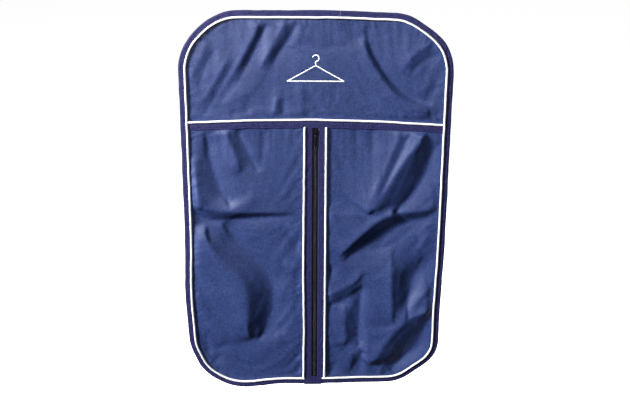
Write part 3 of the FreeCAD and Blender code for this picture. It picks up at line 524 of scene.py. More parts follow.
# ------------------------------------------------------------ mesh utilities
class Build:
    """Collects grids, tubes and threads into one mesh."""

    def __init__(self):
        self.v, self.f, self.n = [], [], 0

    def verts(self, p):
        p = np.asarray(p, float).reshape(-1, 3)
        self.v.append(p)
        self.n += len(p)
        return self.n - len(p)

    def faces(self, f, mat=0, uv=None):
        self.f.append((np.asarray(f, np.int64), mat, uv))

    def grid(self, p, mat=0, uv=None, wrap_u=False, wrap_v=False, flip=False, start=None):
        """p is (nu, nv, 3); uv is (nu + wrap, nv + wrap, 2) or None."""
        nu, nv = p.shape[:2]
        base = self.verts(p) if start is None else start
        idx = np.arange(nu * nv).reshape(nu, nv) + base
        if wrap_u:
            idx = np.vstack([idx, idx[:1]])
        if wrap_v:
            idx = np.hstack([idx, idx[:, :1]])
        q = np.stack([idx[:-1, :-1], idx[1:, :-1], idx[1:, 1:], idx[:-1, 1:]], -1)
        t = None
        if uv is not None:
            t = np.stack([uv[:-1, :-1], uv[1:, :-1], uv[1:, 1:], uv[:-1, 1:]], -2).reshape(-1, 4, 2)
        q = q.reshape(-1, 4)
        if flip:
            q = q[:, ::-1]
            t = None if t is None else t[:, ::-1]
        self.faces(q, mat, t)
        return idx

    def slab(self, front, back, mat=0):
        """A closed sheet from its front and back grids of the same shape."""
        a = self.grid(front, mat)
        b = self.grid(back, mat, flip=True)
        for i, j in ((a[0], b[0]), (a[-1][::-1], b[-1][::-1]), (a[::-1, 0], b[::-1, 0]), (a[:, -1], b[:, -1])):
            self.faces(np.stack([i[1:], i[:-1], j[:-1], j[1:]], -1), mat)

    def tube(self, p, mat=0, uv=None, flip=False):
        """p is (n stations, m round, 3), closed round and capped."""
        idx = self.grid(p, mat, uv, wrap_v=True, flip=flip)
        for k, turn in ((0, flip), (-1, not flip)):
            c = self.verts(p[k].mean(0))
            r = idx[k]
            t = np.stack([r[:-1], r[1:], np.full(len(r) - 1, c)], -1)
            self.faces(t if not turn else t[:, ::-1], mat)

    def threads(self, a, b, radius, arch=0.0, mat=0, y=0.0, lift=0.0, flat=0.75, sides=6):
        """Short stitches from flat points a to b, each (n, 2), lying at y."""
        a, b = np.asarray(a, float), np.asarray(b, float)
        n = len(a)
        v = b - a
        ln = np.hypot(v[:, 0], v[:, 1])[:, None] + 1e-9
        v = v / ln
        side = np.stack([-v[:, 1], v[:, 0]], -1)
        ts = np.array([0.0, 0.12, 0.38, 0.62, 0.88, 1.0])
        rs = np.array([0.25, 0.8, 1.0, 1.0, 0.8, 0.25]) * radius
        hs = arch * np.sin(np.pi * ts)
        ang = np.arange(sides) * 2 * math.pi / sides
        mid = a[:, None] + (b - a)[:, None] * ts[None, :, None]
        off = rs[:, None] * np.cos(ang)[None]
        xz = mid[:, :, None] + side[:, None, None] * off[None, :, :, None]
        yy = np.asarray(y, float)
        yy = yy[:, None, None] if yy.ndim else yy
        yo = yy - hs[None, :, None] - (rs[:, None] * np.sin(ang)[None] * flat)[None]
        yo = np.broadcast_to(yo, xz.shape[:3])
        lf = lift(mid[..., 0], mid[..., 1])[:, :, None] if callable(lift) else lift
        p = put(xz[..., 0], xz[..., 1], yo, lf)
        base = self.verts(p)
        k = len(ts)
        one = np.arange(k * sides).reshape(k, sides)
        one = np.hstack([one, one[:, :1]])
        q = np.stack([one[:-1, :-1], one[:-1, 1:], one[1:, 1:], one[1:, :-1]], -1).reshape(-1, 4)
        q = (q[None] + (np.arange(n) * k * sides)[:, None, None]).reshape(-1, 4) + base
        self.faces(q, mat)
        for row, turn in ((one[0, :-1], True), (one[-1, :-1], False)):
            r = row if not turn else row[::-1]
            t = np.array([(r[0], r[i + 1], r[i]) for i in range(1, sides - 1)])
            t = (t[None] + (np.arange(n) * k * sides)[:, None, None]).reshape(-1, 3) + base
            self.faces(t, mat)

    def make(self, name, mats, body="bag", replaces=(), sharp=40.0):
        v = np.vstack(self.v)
        quads = [(f, m, t) for f, m, t in self.f if f.shape[1] == 4]
        tris = [(f, m, t) for f, m, t in self.f if f.shape[1] == 3]
        order = quads + tris
        me = bpy.data.meshes.new(name)
        me.vertices.add(len(v))
        me.vertices.foreach_set("co", v.astype(np.float32).ravel())
        loops = np.concatenate([f.ravel() for f, _, _ in order]).astype(np.int32)
        me.loops.add(len(loops))
        me.loops.foreach_set("vertex_index", loops)
        nq, nt = sum(len(f) for f, _, _ in quads), sum(len(f) for f, _, _ in tris)
        me.polygons.add(nq + nt)
        me.polygons.foreach_set(
            "loop_start", np.r_[np.arange(nq) * 4, nq * 4 + np.arange(nt) * 3].astype(np.int32)
        )
        me.polygons.foreach_set(
            "material_index", np.concatenate([np.full(len(f), m) for f, m, _ in order]).astype(np.int32)
        )
        me.update(calc_edges=True)
        uv = me.uv_layers.new(name="run")
        flat = np.concatenate(
            [
                (t if t is not None else v[f][..., [0, 2]]).reshape(-1, 2)
                for f, _, t in order
            ]
        )
        uv.data.foreach_set("uv", flat.astype(np.float32).ravel())
        me.validate()
        me.shade_smooth()
        me.set_sharp_from_angle(angle=math.radians(sharp))
        for m in mats:
            me.materials.append(m)
        o = bpy.data.objects.new(name, me)
        bpy.context.collection.objects.link(o)
        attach(o, body)
        if replaces:
            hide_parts(*replaces)
        return o


def refine(profile, most=2.2):
    """The closed profile with its long sides divided."""
    out = []
    p = list(profile)
    for a, b in zip(p, p[1:] + p[:1]):
        a, b = np.array(a, float), np.array(b, float)
        n = max(1, int(math.ceil(np.hypot(*(b - a)) / most)))
        out += [tuple(a + (b - a) * i / n) for i in range(n)]
    return np.array(out)


def piping_profile(a0, tail, r=2.5, yc=-8.15):
    """Round cover with its flange, a running from the piping to the seam."""
    out = []
    for k in range(19):
        f = math.radians(-44.4 + (360 - 45.6) * k / 18)
        out.append((a0 + r * math.cos(f), yc - r * math.sin(f)))
    out += [(a0 + 0.8, -5.6)] + [(a0 + 0.8 + (tail - 0.8) * k / 5, -5.6) for k in range(1, 6)]
    out += [(a0 + tail - (tail - 2.6) * k / 5, -6.4) for k in range(0, 5)]
    return np.array(out)


def disc(a0, r, yc, n=12):
    t = np.arange(n) * 2 * math.pi / n
    return np.stack([a0 + r * np.cos(t), yc - r * np.sin(t)], -1)


def along(profile, base, normal, s, ripple=None, width=None):
    """Sweeps profile (a, y) along base + a * normal; returns points and uv."""
    a = np.broadcast_to(profile[None, :, 0], (len(s), len(profile))).copy()
    y = np.broadcast_to(profile[None, :, 1], a.shape).copy()
    if width is not None:
        a = a + width(s[:, None], a)
    if ripple is not None:
        y = y - ripple(s[:, None], a, y)
    x = base[:, None, 0] + a * normal[:, None, 0]
    z = base[:, None, 1] + a * normal[:, None, 1]
    p = put(x, z, y)
    closed = np.vstack([profile, profile[:1]])
    c = np.r_[0, np.cumsum(np.hypot(*np.diff(closed, axis=0).T))]
    uv = np.stack(
        [np.broadcast_to(s[:, None], (len(s), len(c))), np.broadcast_to(c[None], (len(s), len(c)))], -1
    ) * 0.001
    return p, uv

# ------------------------------------------------------------------ materials
def rgb(hexa):
    c = [int(hexa[i : i + 2], 16) / 255 for i in (0, 2, 4)]
    return tuple(v / 12.92 if v <= 0.04045 else ((v + 0.055) / 1.055) ** 2.4 for v in c) + (1.0,)


def link(nt, a, b):
    nt.links.new(a, b)


def math_node(nt, op, a, b=None):
    n = nt.nodes.new("ShaderNodeMath")
    n.operation = op
    for i, v in enumerate((a, b)):
        if v is None:
            continue
        if isinstance(v, (int, float)):
            n.inputs[i].default_value = v
        else:
            link(nt, v, n.inputs[i])
    return n.outputs[0]


def textile(name, low, high, rough, weave, depth, spec=0.4, sheen=0.0, sheen_tint=(1, 1, 1, 1),
            coord="Object", twill=False, patch=45.0, grain=2.6, cross=1.0, mottle=0.45, aniso=0.0, thread=0.03, speckle=3.0, pebble=0.1):
    """A woven cloth: thread checker or twill rib from sines at weave mm, thread
    unevenness, slow colour drift, and bump. low and high are its colours."""
    m = bpy.data.materials.new(name)
    m.use_nodes = True
    nt = m.node_tree
    bsdf = nt.nodes["Principled BSDF"]
    tc = nt.nodes.new("ShaderNodeTexCoord")
    sp = nt.nodes.new("ShaderNodeSeparateXYZ")
    src = tc.outputs[coord]
    link(nt, src, sp.inputs[0])
    u = sp.outputs["X"]
    v = sp.outputs["Y" if coord == "UV" else "Z"]
    k = 2 * math.pi * 1000.0 / weave
    if twill:
        du = math_node(nt, "MULTIPLY", math_node(nt, "ADD", u, math_node(nt, "MULTIPLY", v, 1.0)), k)
        rib = math_node(nt, "SINE", du)
        fine = math_node(nt, "SINE", math_node(nt, "MULTIPLY", math_node(nt, "SUBTRACT", u, v), k * 2.0))
        w = math_node(nt, "ADD", math_node(nt, "MULTIPLY", rib, 0.36), math_node(nt, "MULTIPLY", fine, 0.14))
    else:
        su = math_node(nt, "SINE", math_node(nt, "MULTIPLY", u, k))
        sv = math_node(nt, "SINE", math_node(nt, "MULTIPLY", v, k * cross))
        w = math_node(nt, "MULTIPLY", math_node(nt, "MULTIPLY", su, sv), 0.5)
    w = math_node(nt, "ADD", w, 0.5)

    def noise(scale, detail, rough_=0.55, stretch=None):
        n = nt.nodes.new("ShaderNodeTexNoise")
        n.inputs["Scale"].default_value = scale
        n.inputs["Detail"].default_value = detail
        n.inputs["Roughness"].default_value = rough_
        if stretch:
            mp = nt.nodes.new("ShaderNodeMapping")
            mp.inputs["Scale"].default_value = stretch
            link(nt, src, mp.inputs["Vector"])
            link(nt, mp.outputs[0], n.inputs["Vector"])
        else:
            link(nt, src, n.inputs["Vector"])
        return n.outputs["Fac"]

    # threads running across and down, uneven along their length
    across = noise(1.0, 2.0, 0.6, (1000 / (grain * 6), 1000 / grain, 1000 / grain))
    if coord == "UV":
        down = noise(1.0, 2.0, 0.6, (1000 / grain, 1000 / (grain * 6), 1.0))
    else:
        down = noise(1.0, 2.0, 0.6, (1000 / grain, 1000 / grain, 1000 / (grain * 6)))
    slub = math_node(nt, "MULTIPLY", math_node(nt, "ADD", across, down), 0.5)
    drift = noise(1000.0 / patch, 3.0)
    speck = noise(1000.0 / speckle, 2.0, 0.7)
    f = math_node(nt, "ADD", math_node(nt, "MULTIPLY", w, 0.32), math_node(nt, "MULTIPLY", slub, mottle * 0.9))
    f = math_node(nt, "ADD", f, math_node(nt, "MULTIPLY", drift, 0.2))
    f = math_node(nt, "ADD", f, math_node(nt, "MULTIPLY", speck, mottle))
    f = math_node(nt, "SUBTRACT", f, 0.16 + 0.1 + mottle * 0.95 - 0.5)
    ramp = nt.nodes.new("ShaderNodeValToRGB")
    ramp.color_ramp.elements[0].color = low
    ramp.color_ramp.elements[1].color = high
    ramp.color_ramp.elements[0].position = 0.26
    ramp.color_ramp.elements[1].position = 0.74
    link(nt, f, ramp.inputs["Fac"])
    link(nt, ramp.outputs["Color"], bsdf.inputs["Base Color"])
    rg = math_node(nt, "ADD", math_node(nt, "MULTIPLY", slub, 0.22), rough - 0.11)
    link(nt, rg, bsdf.inputs["Roughness"])
    bsdf.inputs["Specular IOR Level"].default_value = spec
    if sheen:
        bsdf.inputs["Sheen Weight"].default_value = sheen
        bsdf.inputs["Sheen Roughness"].default_value = 0.4
        bsdf.inputs["Sheen Tint"].default_value = sheen_tint
    if aniso:
        bsdf.inputs["Anisotropic"].default_value = aniso
    # heights in mm: the weave's threads, and the slower unevenness of the yarn
    height = math_node(nt, "ADD", math_node(nt, "MULTIPLY", w, thread), math_node(nt, "MULTIPLY", slub, depth))
    height = math_node(nt, "ADD", height, math_node(nt, "MULTIPLY", speck, pebble))
    b = nt.nodes.new("ShaderNodeBump")
    b.inputs["Strength"].default_value = 1.0
    b.inputs["Distance"].default_value = 0.001
    link(nt, height, b.inputs["Height"])
    link(nt, b.outputs[0], bsdf.inputs["Normal"])
    return m


def solid_finish(name, low, high, rough, metal=0.0, scale=900.0, depth=0.03, coat=0.0, spec=0.5, streak=None):
    """Enamel, plastic or wire: slight tone and gloss variation with fine scuffs."""
    m = bpy.data.materials.new(name)
    m.use_nodes = True
    nt = m.node_tree
    bsdf = nt.nodes["Principled BSDF"]
    tc = nt.nodes.new("ShaderNodeTexCoord")
    n = nt.nodes.new("ShaderNodeTexNoise")
    n.inputs["Scale"].default_value = scale
    n.inputs["Detail"].default_value = 4.0
    if streak:
        mp = nt.nodes.new("ShaderNodeMapping")
        mp.inputs["Scale"].default_value = streak
        link(nt, tc.outputs["Object"], mp.inputs["Vector"])
        link(nt, mp.outputs[0], n.inputs["Vector"])
    else:
        link(nt, tc.outputs["Object"], n.inputs["Vector"])
    ramp = nt.nodes.new("ShaderNodeValToRGB")
    ramp.color_ramp.elements[0].color, ramp.color_ramp.elements[1].color = low, high
    ramp.color_ramp.elements[0].position, ramp.color_ramp.elements[1].position = 0.3, 0.7
    link(nt, n.outputs["Fac"], ramp.inputs["Fac"])
    link(nt, ramp.outputs["Color"], bsdf.inputs["Base Color"])
    link(nt, math_node(nt, "ADD", math_node(nt, "MULTIPLY", n.outputs["Fac"], 0.25), rough - 0.12), bsdf.inputs["Roughness"])
    bsdf.inputs["Metallic"].default_value = metal
    bsdf.inputs["Specular IOR Level"].default_value = spec
    if coat:
        bsdf.inputs["Coat Weight"].default_value = coat
        bsdf.inputs["Coat Roughness"].default_value = 0.15
    b = nt.nodes.new("ShaderNodeBump")
    b.inputs["Strength"].default_value = 0.5
    b.inputs["Distance"].default_value = depth * 0.001
    link(nt, n.outputs["Fac"], b.inputs["Height"])
    link(nt, b.outputs[0], bsdf.inputs["Normal"])
    return m


CLOTH = textile("navy_cloth", (0.0036, 0.0108, 0.062, 1), (0.0202, 0.0440, 0.160, 1), 0.57, 1.1, 0.22, spec=0.55,
                patch=60.0, mottle=0.8, grain=2.2, speckle=3.3, pebble=0.42)
LINING = textile("cloth_back", (0.0070, 0.0190, 0.080, 1), (0.017, 0.038, 0.132, 1), 0.58, 1.1, 0.22, spec=0.5,
                 patch=80.0, mottle=0.8, grain=2.2, speckle=3.3, pebble=0.42)
TAPE = textile("binding_weave", (0.0032, 0.0038, 0.030, 1), (0.021, 0.021, 0.108, 1), 0.66, 1.6, 0.3, spec=0.3,
               coord="UV", twill=False, cross=0.5, patch=9.0, grain=2.0, mottle=1.3, speckle=4.0, pebble=0.5)
PIPING = textile("piping_cover", (0.64, 0.64, 0.67, 1), (0.80, 0.80, 0.82, 1), 0.5, 0.9, 0.15, spec=0.4, sheen=0.1,
                 coord="UV", twill=True, patch=25.0, grain=1.2, mottle=0.3)
FILLER = textile("filler_cord", rgb("c9c5b8"), rgb("e2dfd4"), 0.8, 1.2, 0.4, spec=0.2, coord="UV", twill=True, patch=20.0)
ZIPTAPE = textile("zip_tape_weave", (0.002, 0.003, 0.009, 1), (0.008, 0.010, 0.026, 1), 0.75, 1.3, 0.25, spec=0.3,
                  patch=20.0, cross=0.5, grain=1.4)
COIL = solid_finish("coil_nylon", (0.002, 0.002, 0.003, 1), (0.010, 0.011, 0.015, 1), 0.36, spec=0.7, scale=500.0, depth=0.04)
STOP = solid_finish("stop_enamel", (0.003, 0.003, 0.004, 1), (0.009, 0.009, 0.012, 1), 0.35, spec=0.5, scale=900.0, coat=0.2)
ENAMEL = solid_finish("slider_enamel", (0.0025, 0.0025, 0.003, 1), (0.007, 0.007, 0.008, 1), 0.32, spec=0.5, scale=1100.0, depth=0.02, coat=0.4)
THREAD = textile("navy_thread", (0.010, 0.008, 0.07, 1), (0.035, 0.03, 0.18, 1), 0.5, 0.35, 0.1, spec=0.6, patch=9.0, grain=0.5)
TACK = textile("tack_thread", (0.010, 0.009, 0.06, 1), (0.03, 0.028, 0.15, 1), 0.5, 0.35, 0.1, spec=0.5, patch=6.0, grain=0.5)
WHITE = textile("embroidery_thread", (0.80, 0.80, 0.84, 1), (0.95, 0.95, 0.97, 1), 0.38, 0.35, 0.12, spec=0.5, sheen=0.1, patch=8.0, grain=0.5, mottle=0.25)
KEY, FILL = 570.0, 19.0

# ---------------------------------------------------------------- cloth panels
IN = 0.8


def half_width(z):
    """Half the cloth's width at height z, just inside the binding's fold."""
    w, rt, rb = HALF - IN, RT - IN, RB - IN
    t = np.clip(-IN - z, 0, None)
    b = np.clip(z + TALL - IN, 0, None)
    out = np.full(np.shape(z), w)
    out = np.where(t < rt, w - rt + np.sqrt(np.maximum(rt**2 - (rt - t) ** 2, 0)), out)
    return np.where(b < rb, w - rb + np.sqrt(np.maximum(rb**2 - (rb - b) ** 2, 0)), out)


def heights(top, bottom, step):
    """Row heights from top to bottom, close together where the corners turn."""
    rows = []
    if top > -RT:
        n = int(ARC_T / step)
        rows += list(-IN - (RT - IN) * (1 - np.cos(np.linspace(0.02, math.pi / 2, n))))
        rows[0] = -IN
    z0 = rows[-1] if rows else top
    z1 = bottom if bottom > -TALL + RB else -TALL + RB
    n = max(2, int(abs(z0 - z1) / step))
    rows += list(np.linspace(z0, z1, n + 1))[(1 if rows else 0) :]
    if bottom < -TALL + RB:
        n = int(ARC_B / step)
        a = np.linspace(0, math.pi / 2 - 0.02, n + 1)[1:]
        rows += list(-TALL + RB - (RB - IN) * np.sin(a))
        rows[-1] = -TALL + IN
    return np.array(rows)


def panel_grid(kind, step, cols):
    """Flat x, z of a panel's nodes; rows run down, columns left to right."""
    if kind == "Y":
        z = heights(0, -240, step)
        lo, hi = -half_width(z), half_width(z)
    elif kind == "B":
        z = heights(0, -TALL, step)
        lo, hi = -half_width(z), half_width(z)
    else:
        z = heights(-240, -TALL, step)
        w = half_width(z)
        lo, hi = (-w, np.full(z.shape, -7.1)) if kind == "L" else (np.full(z.shape, 7.1), w)
    t = np.linspace(0, 1, cols)
    return lo[:, None] + (hi - lo)[:, None] * t, np.broadcast_to(z[:, None], (len(z), cols)).copy()


def settle(kind, base, cols, step, slack, seed):
    """Cloth simulation of a panel held at its seams: the cut has a little more
    cloth than its frame, and hangs. Returns how far the cloth moved towards
    the viewer, capped, on the coarse panel's own rows and columns."""
    x, z = panel_grid(kind, step, cols)
    p = base(x, z)
    nu, nv = x.shape
    me = bpy.data.meshes.new("sim")
    idx = np.arange(nu * nv).reshape(nu, nv)
    q = np.stack([idx[:-1, :-1], idx[1:, :-1], idx[1:, 1:], idx[:-1, 1:]], -1).reshape(-1, 4)
    me.from_pydata(p.reshape(-1, 3).tolist(), [], q.tolist())
    o = bpy.data.objects.new("sim", me)
    bpy.context.collection.objects.link(o)
    d = inset(x, z)[0]
    free = smooth((d - 14) / 10)
    if kind == "Y":
        free = free * smooth((z + 238) / 12)
        free = free * (1 - 0.9 * smooth((88 - np.abs(x)) / 14) * smooth((z + 172) / 14) * smooth((-80 - z) / 12))
    elif kind in "LR":
        free = free * smooth((-258 - z) / 10) * smooth((np.abs(x) - 24) / 10)
    group = o.vertex_groups.new(name="hold")
    weight = 1.0 - 0.93 * free.ravel()
    for i, w in enumerate(weight):
        group.add([i], float(w), "REPLACE")
    mod = o.modifiers.new("cloth", "CLOTH")
    st = mod.settings
    st.quality = 5
    st.mass = 0.12
    st.tension_stiffness = 25
    st.compression_stiffness = 25
    st.shear_stiffness = 12
    st.bending_stiffness = 0.12
    st.tension_damping = st.compression_damping = 8
    st.shear_damping = 6
    st.bending_damping = 0.5
    st.air_damping = 2.0
    st.vertex_group_mass = "hold"
    st.pin_stiffness = 1.0
    st.shrink_min = -slack
    st.shrink_max = -slack
    mod.collision_settings.use_collision = False
    mod.collision_settings.use_self_collision = False
    mod.point_cache.frame_start, mod.point_cache.frame_end = 1, 26
    # a seeded breath of unevenness, so that the slack buckles
    un = waves(24, 18, 60, seed)(x, z).ravel() * 0.0003 * free.ravel()
    co = p.reshape(-1, 3).copy()
    co[:, 1] -= un
    me.vertices.foreach_set("co", co.astype(np.float32).ravel())
    for f in range(1, 25):
        bpy.context.scene.frame_set(f)
    dg = bpy.context.evaluated_depsgraph_get()
    ev = o.evaluated_get(dg).data
    out = np.zeros(len(ev.vertices) * 3, np.float32)
    ev.vertices.foreach_get("co", out)
    out = out.reshape(nu, nv, 3).astype(float)
    bpy.data.objects.remove(o)
    bpy.data.meshes.remove(me)
    bpy.context.scene.frame_set(1)
    rise = -(out[..., 1] - p[..., 1]) * 1000.0
    rise = rise - blur(rise, 9)
    cap = 0.5
    return cap * np.tanh(rise / cap) * free


def blur(a, n):
    k = np.exp(-(np.linspace(-2.2, 2.2, 2 * n + 1) ** 2) / 2)
    k /= k.sum()
    for axis in (0, 1):
        a = np.apply_along_axis(lambda v: np.convolve(np.pad(v, n, mode="edge"), k, "valid"), axis, a)
    return a


def carry(coarse, shape, z_from, z_to):
    """Values on coarse rows and columns read at a finer panel's ones."""
    r = np.interp(-z_to, -z_from, np.arange(len(z_from)))
    c = np.linspace(0, coarse.shape[1] - 1, shape[1])
    a = np.stack([np.interp(c, np.arange(coarse.shape[1]), row) for row in coarse])
    b = np.stack([np.interp(r, np.arange(coarse.shape[0]), a[:, j]) for j in range(a.shape[1])], 1)
    return blur(b, 2)


Y_FACE, T_CLOTH = -5.6, 0.6
SLACK = 0.004


def front_panel(kind, name, node, step, cols, sim_step, sim_cols, seed):
    x, z = panel_grid(kind, step, cols)
    extra = 0.0
    xs, zs = panel_grid(kind, sim_step, sim_cols)
    moved = settle(kind, lambda a, b: put(a, b, Y_FACE, face(a, b)), sim_cols, sim_step, SLACK, seed)
    extra = carry(moved, x.shape, zs[:, 0], z[:, 0])
    rise = face(x, z, extra)
    b = Build()
    b.slab(put(x, z, Y_FACE, rise), put(x, z, Y_FACE + T_CLOTH, rise), 0)
    o = b.make(name, [CLOTH], replaces=(node,))
    return o


yoke = front_panel("Y", "yoke_cloth", "yoke_panel", 2.4, 250, 6.0, 100, 71)
left = front_panel("L", "front_left_cloth", "front_left_panel", 2.4, 122, 6.0, 50, 72)
rightp = front_panel("R", "front_right_cloth", "front_right_panel", 2.4, 122, 6.0, 50, 73)

# The back: a shallow tray held out by what hangs inside, arched over the hook
# slit at the top.
_back = waves(30, 45, 260, 91)
_back_fine = waves(30, 16, 60, 92)


def back_depth(x, z):
    d = inset(x, z)[0]
    tray = -5.0 + 12.0 * smooth((d - 12.5) / 47.5)
    arch = np.where(np.abs(x) < 129, -125 + np.sqrt(np.maximum(130.0**2 - np.minimum(np.abs(x), 129.0) ** 2, 0)), -200)
    lift = (arch + 5.0).clip(0) * smooth((z + 95) / 60)
    y = np.maximum(tray, -5.0 + lift)
    live = smooth((d - 20) / 40)
    soft = 2.4 * _back(x, z) * live + 0.5 * _back_fine(x, z) * smooth((d - 14) / 12)
    q = np.maximum(d - 14, 0)
    gather = 0.7 * _along_edge2(inset(x, z)[3]) * smooth(q / 5) * np.exp(-q / 20)
    away = 1 - smooth((70 - np.abs(x)) / 20) * smooth((z + 80) / 20)
    return behind_zip(x, z, y + (soft + gather) * away)


def behind_zip(x, z, y):
    """Holds the back clear of the slider along its whole run."""
    near = smooth((18 - np.abs(x)) / 9) * smooth((z + 871.5) / 3) * smooth((-240 - z) / 20)
    return y + near * np.maximum(-1.5 - y, 0)


x, z = panel_grid("B", 3.7, 161)
deep = back_depth(x, z)
xs, zs = panel_grid("B", 10.0, 60)
moved = settle("B", lambda a, b: put(a, b, back_depth(a, b)), 60, 10.0, 0.015, 74)
deep = behind_zip(x, z, deep - carry(moved, x.shape, zs[:, 0], z[:, 0]))
b = Build()
b.slab(put(x, z, deep), put(x, z, deep + 0.6), 0)
back = b.make("back_cloth", [LINING], replaces=("back_panel",))

# ------------------------------------------------------------------ bindings
edge_s = np.arange(426.5, PER + 321.9 + 0.1, 3.0)
_lay = wobble(9, 60, 101, 26)
_lay2 = wobble(14, 90, 102, 18)
_wid = wobble(25, 160, 103, 14)
EDGE_BIND = refine(
    [(-12.5, -7.15), (-11.9, -7.25), (-9.6, -7.0), (-5.0, -7.3), (-1.9, -7.2), (-0.9, -6.95), (-0.25, -6.3), (0.0, -5.4),
     (-0.25, -4.5), (-0.9, -3.85), (-1.9, -3.6), (-5.0, -3.5), (-9.6, -3.8), (-11.9, -3.55), (-12.5, -3.65),
     (-12.5, -4.35), (-2.2, -4.4), (-1.0, -5.0), (-1.0, -5.9), (-2.2, -6.4), (-12.5, -6.4)]
)


def edge_ripple(s, a, y):
    front = np.where(y < -6.7, 1.0, np.where(y > -4.1, -1.0, 0.0))
    lip = smooth((-a) / 3)
    return front * lip * (0.22 * _lay(s) + 0.14 * _lay2(s + 9 * a)) * smooth(1.4 - np.abs(front) * 0.2) + 0.12 * front * lip


def edge_width(s, a):
    return 0.3 * _wid(s) * smooth((-a - 4) / 8) + 0.35 * _wid(s + 500) * smooth((a + 3) / 3)


pt, nm = ring(edge_s)
p, uv = along(EDGE_BIND, pt, nm, edge_s, edge_ripple, edge_width)
b = Build()
b.tube(p, 0, uv, flip=True)


def edge_stitches(b, a, y, side, seed, long=2.7, pitch=3.9, mat=1, s0=428.0, s1=None, r=0.26):
    s = np.arange(s0, s1 or PER + 320.0, pitch)
    p0, n0 = ring(s)
    p1, n1 = ring(s + long)
    jit = 0.12 * np.random.default_rng(seed).normal(size=(len(s), 1))
    b.threads(p0 + n0 * (a + jit), p1 + n1 * (a + jit), r, arch=-side * 0.05, mat=mat, y=y)


edge_stitches(b, -9.9, -7.28, 1, 1)
edge_stitches(b, -9.9, -3.55, -1, 2)
binding = b.make("edge_binding", [TAPE, THREAD], replaces=("perimeter_binding",))

# ------------------------------------------------------------------- pipings
pip_s = np.r_[np.arange(STARTS[5] + (HALF - RB) + 18.0, PER + STARTS[5] + (HALF - RB) - 21.6, 0.9),
              PER + STARTS[5] + (HALF - RB) - 21.6]
_pip = wobble(14, 90, 111, 18)


def pipe_width(seed):
    w = wobble(20, 120, seed, 14)
    return lambda s, a: 0.22 * w(s) + 0.0 * a


def cord_and_cover(tag, base, normal, s, nodes, a0, tail, seed, sub=""):
    w = pipe_width(seed)
    prof = piping_profile(a0, tail)
    turn = np.arctan2(-(prof[:, 1] + 8.15), prof[:, 0] - a0)
    far = np.hypot(prof[:, 0] - a0, prof[:, 1] + 8.15)

    def twist(s, a):
        g = 0.13 * np.cos(turn[None] + 2 * math.pi * s / 4.4) * (far[None] < 2.6) * smooth((np.sin(turn)[None] + 0.8) / 0.6)
        return w(s, a) + g * np.cos(turn)[None]

    def swell(s, a, y):
        g = 0.13 * np.cos(turn[None] + 2 * math.pi * s / 4.4) * (far[None] < 2.6) * smooth((np.sin(turn)[None] + 0.8) / 0.6)
        return g * np.sin(turn)[None]

    p, uv = along(prof, base, normal, s, swell, twist)
    b = Build()
    b.tube(p, 0, uv, flip=True)
    cover = b.make(tag + "_cover", [PIPING], replaces=(nodes[0],), sharp=50)
    p, uv = along(disc(a0, 1.5, -8.15), base, normal, s, None, w)
    b = Build()
    b.tube(p, 0, uv, flip=True)
    core = b.make(tag + "_filler", [FILLER], replaces=(nodes[1],))
    return cover, core


pt, nm = ring(pip_s)
cord_and_cover("edge_piping", pt, nm, pip_s, ("perimeter_piping", "perimeter_piping_cord"), -15.1, 12.6, 121)
yx = np.arange(-282.3, 282.4, 0.9)
base = np.stack([yx, np.full(yx.shape, -240.0)], -1)
cord_and_cover("yoke_piping", base, np.broadcast_to([0.0, -1.0], base.shape), yx, ("yoke_piping", "yoke_piping_cord"), 0.0, 14.0, 122)
zz = np.linspace(-256.0, -872.3, 680)
for side, tag, seed in ((-1, "left", 123), (1, "right", 124)):
    base = np.stack([np.full(zz.shape, 24.0 * side), zz], -1)
    order = slice(None) if side < 0 else slice(None, None, -1)
    cord_and_cover("zip_piping_" + tag, base[order], np.broadcast_to([-1.0 * side, 0.0], base.shape), -zz[order],
                   ("zip_piping_" + tag, "zip_piping_cord_" + tag), 0.0, 15.5, seed)

# ------------------------------------------------------------ tape on the yoke
tx = np.arange(-289.0, 289.1, 2.6)
base = np.stack([tx, np.full(tx.shape, -242.6)], -1)
_tp = wobble(10, 70, 131, 24)
_tp2 = wobble(12, 50, 132, 18)
TAPE_PROF = refine([(0.2, -7.1), (0.6, -7.25), (2.2, -7.05), (7.5, -7.35), (13.4, -7.05), (15.1, -7.25), (15.6, -7.1),
                    (15.6, -6.5), (15.1, -6.4), (0.2, -6.4)], 2.0)
p, uv = along(
    TAPE_PROF, base, np.broadcast_to([0.0, -1.0], base.shape), tx,
    lambda s, a, y: (y < -6.9) * (0.16 * _tp(s + a) + 0.12 * _tp2(s - 2 * a) + 0.1),
    lambda s, a: 0.25 * _tp(s * 0.4) * smooth((a - 8) / 6),
)
b = Build()
b.tube(p, 0, uv, flip=True)
st = np.arange(-284, 284, 3.9)
for dz, seed in ((2.1, 3), (13.4, 4)):
    j = 0.1 * np.random.default_rng(seed).normal(size=len(st))
    b.threads(np.stack([st, -242.6 - dz + j], -1), np.stack([st + 2.7, -242.6 - dz + j], -1), 0.26, 0.05, 1, y=-7.3)
b.make("yoke_seam_tape", [TAPE, THREAD], replaces=("yoke_tape",))

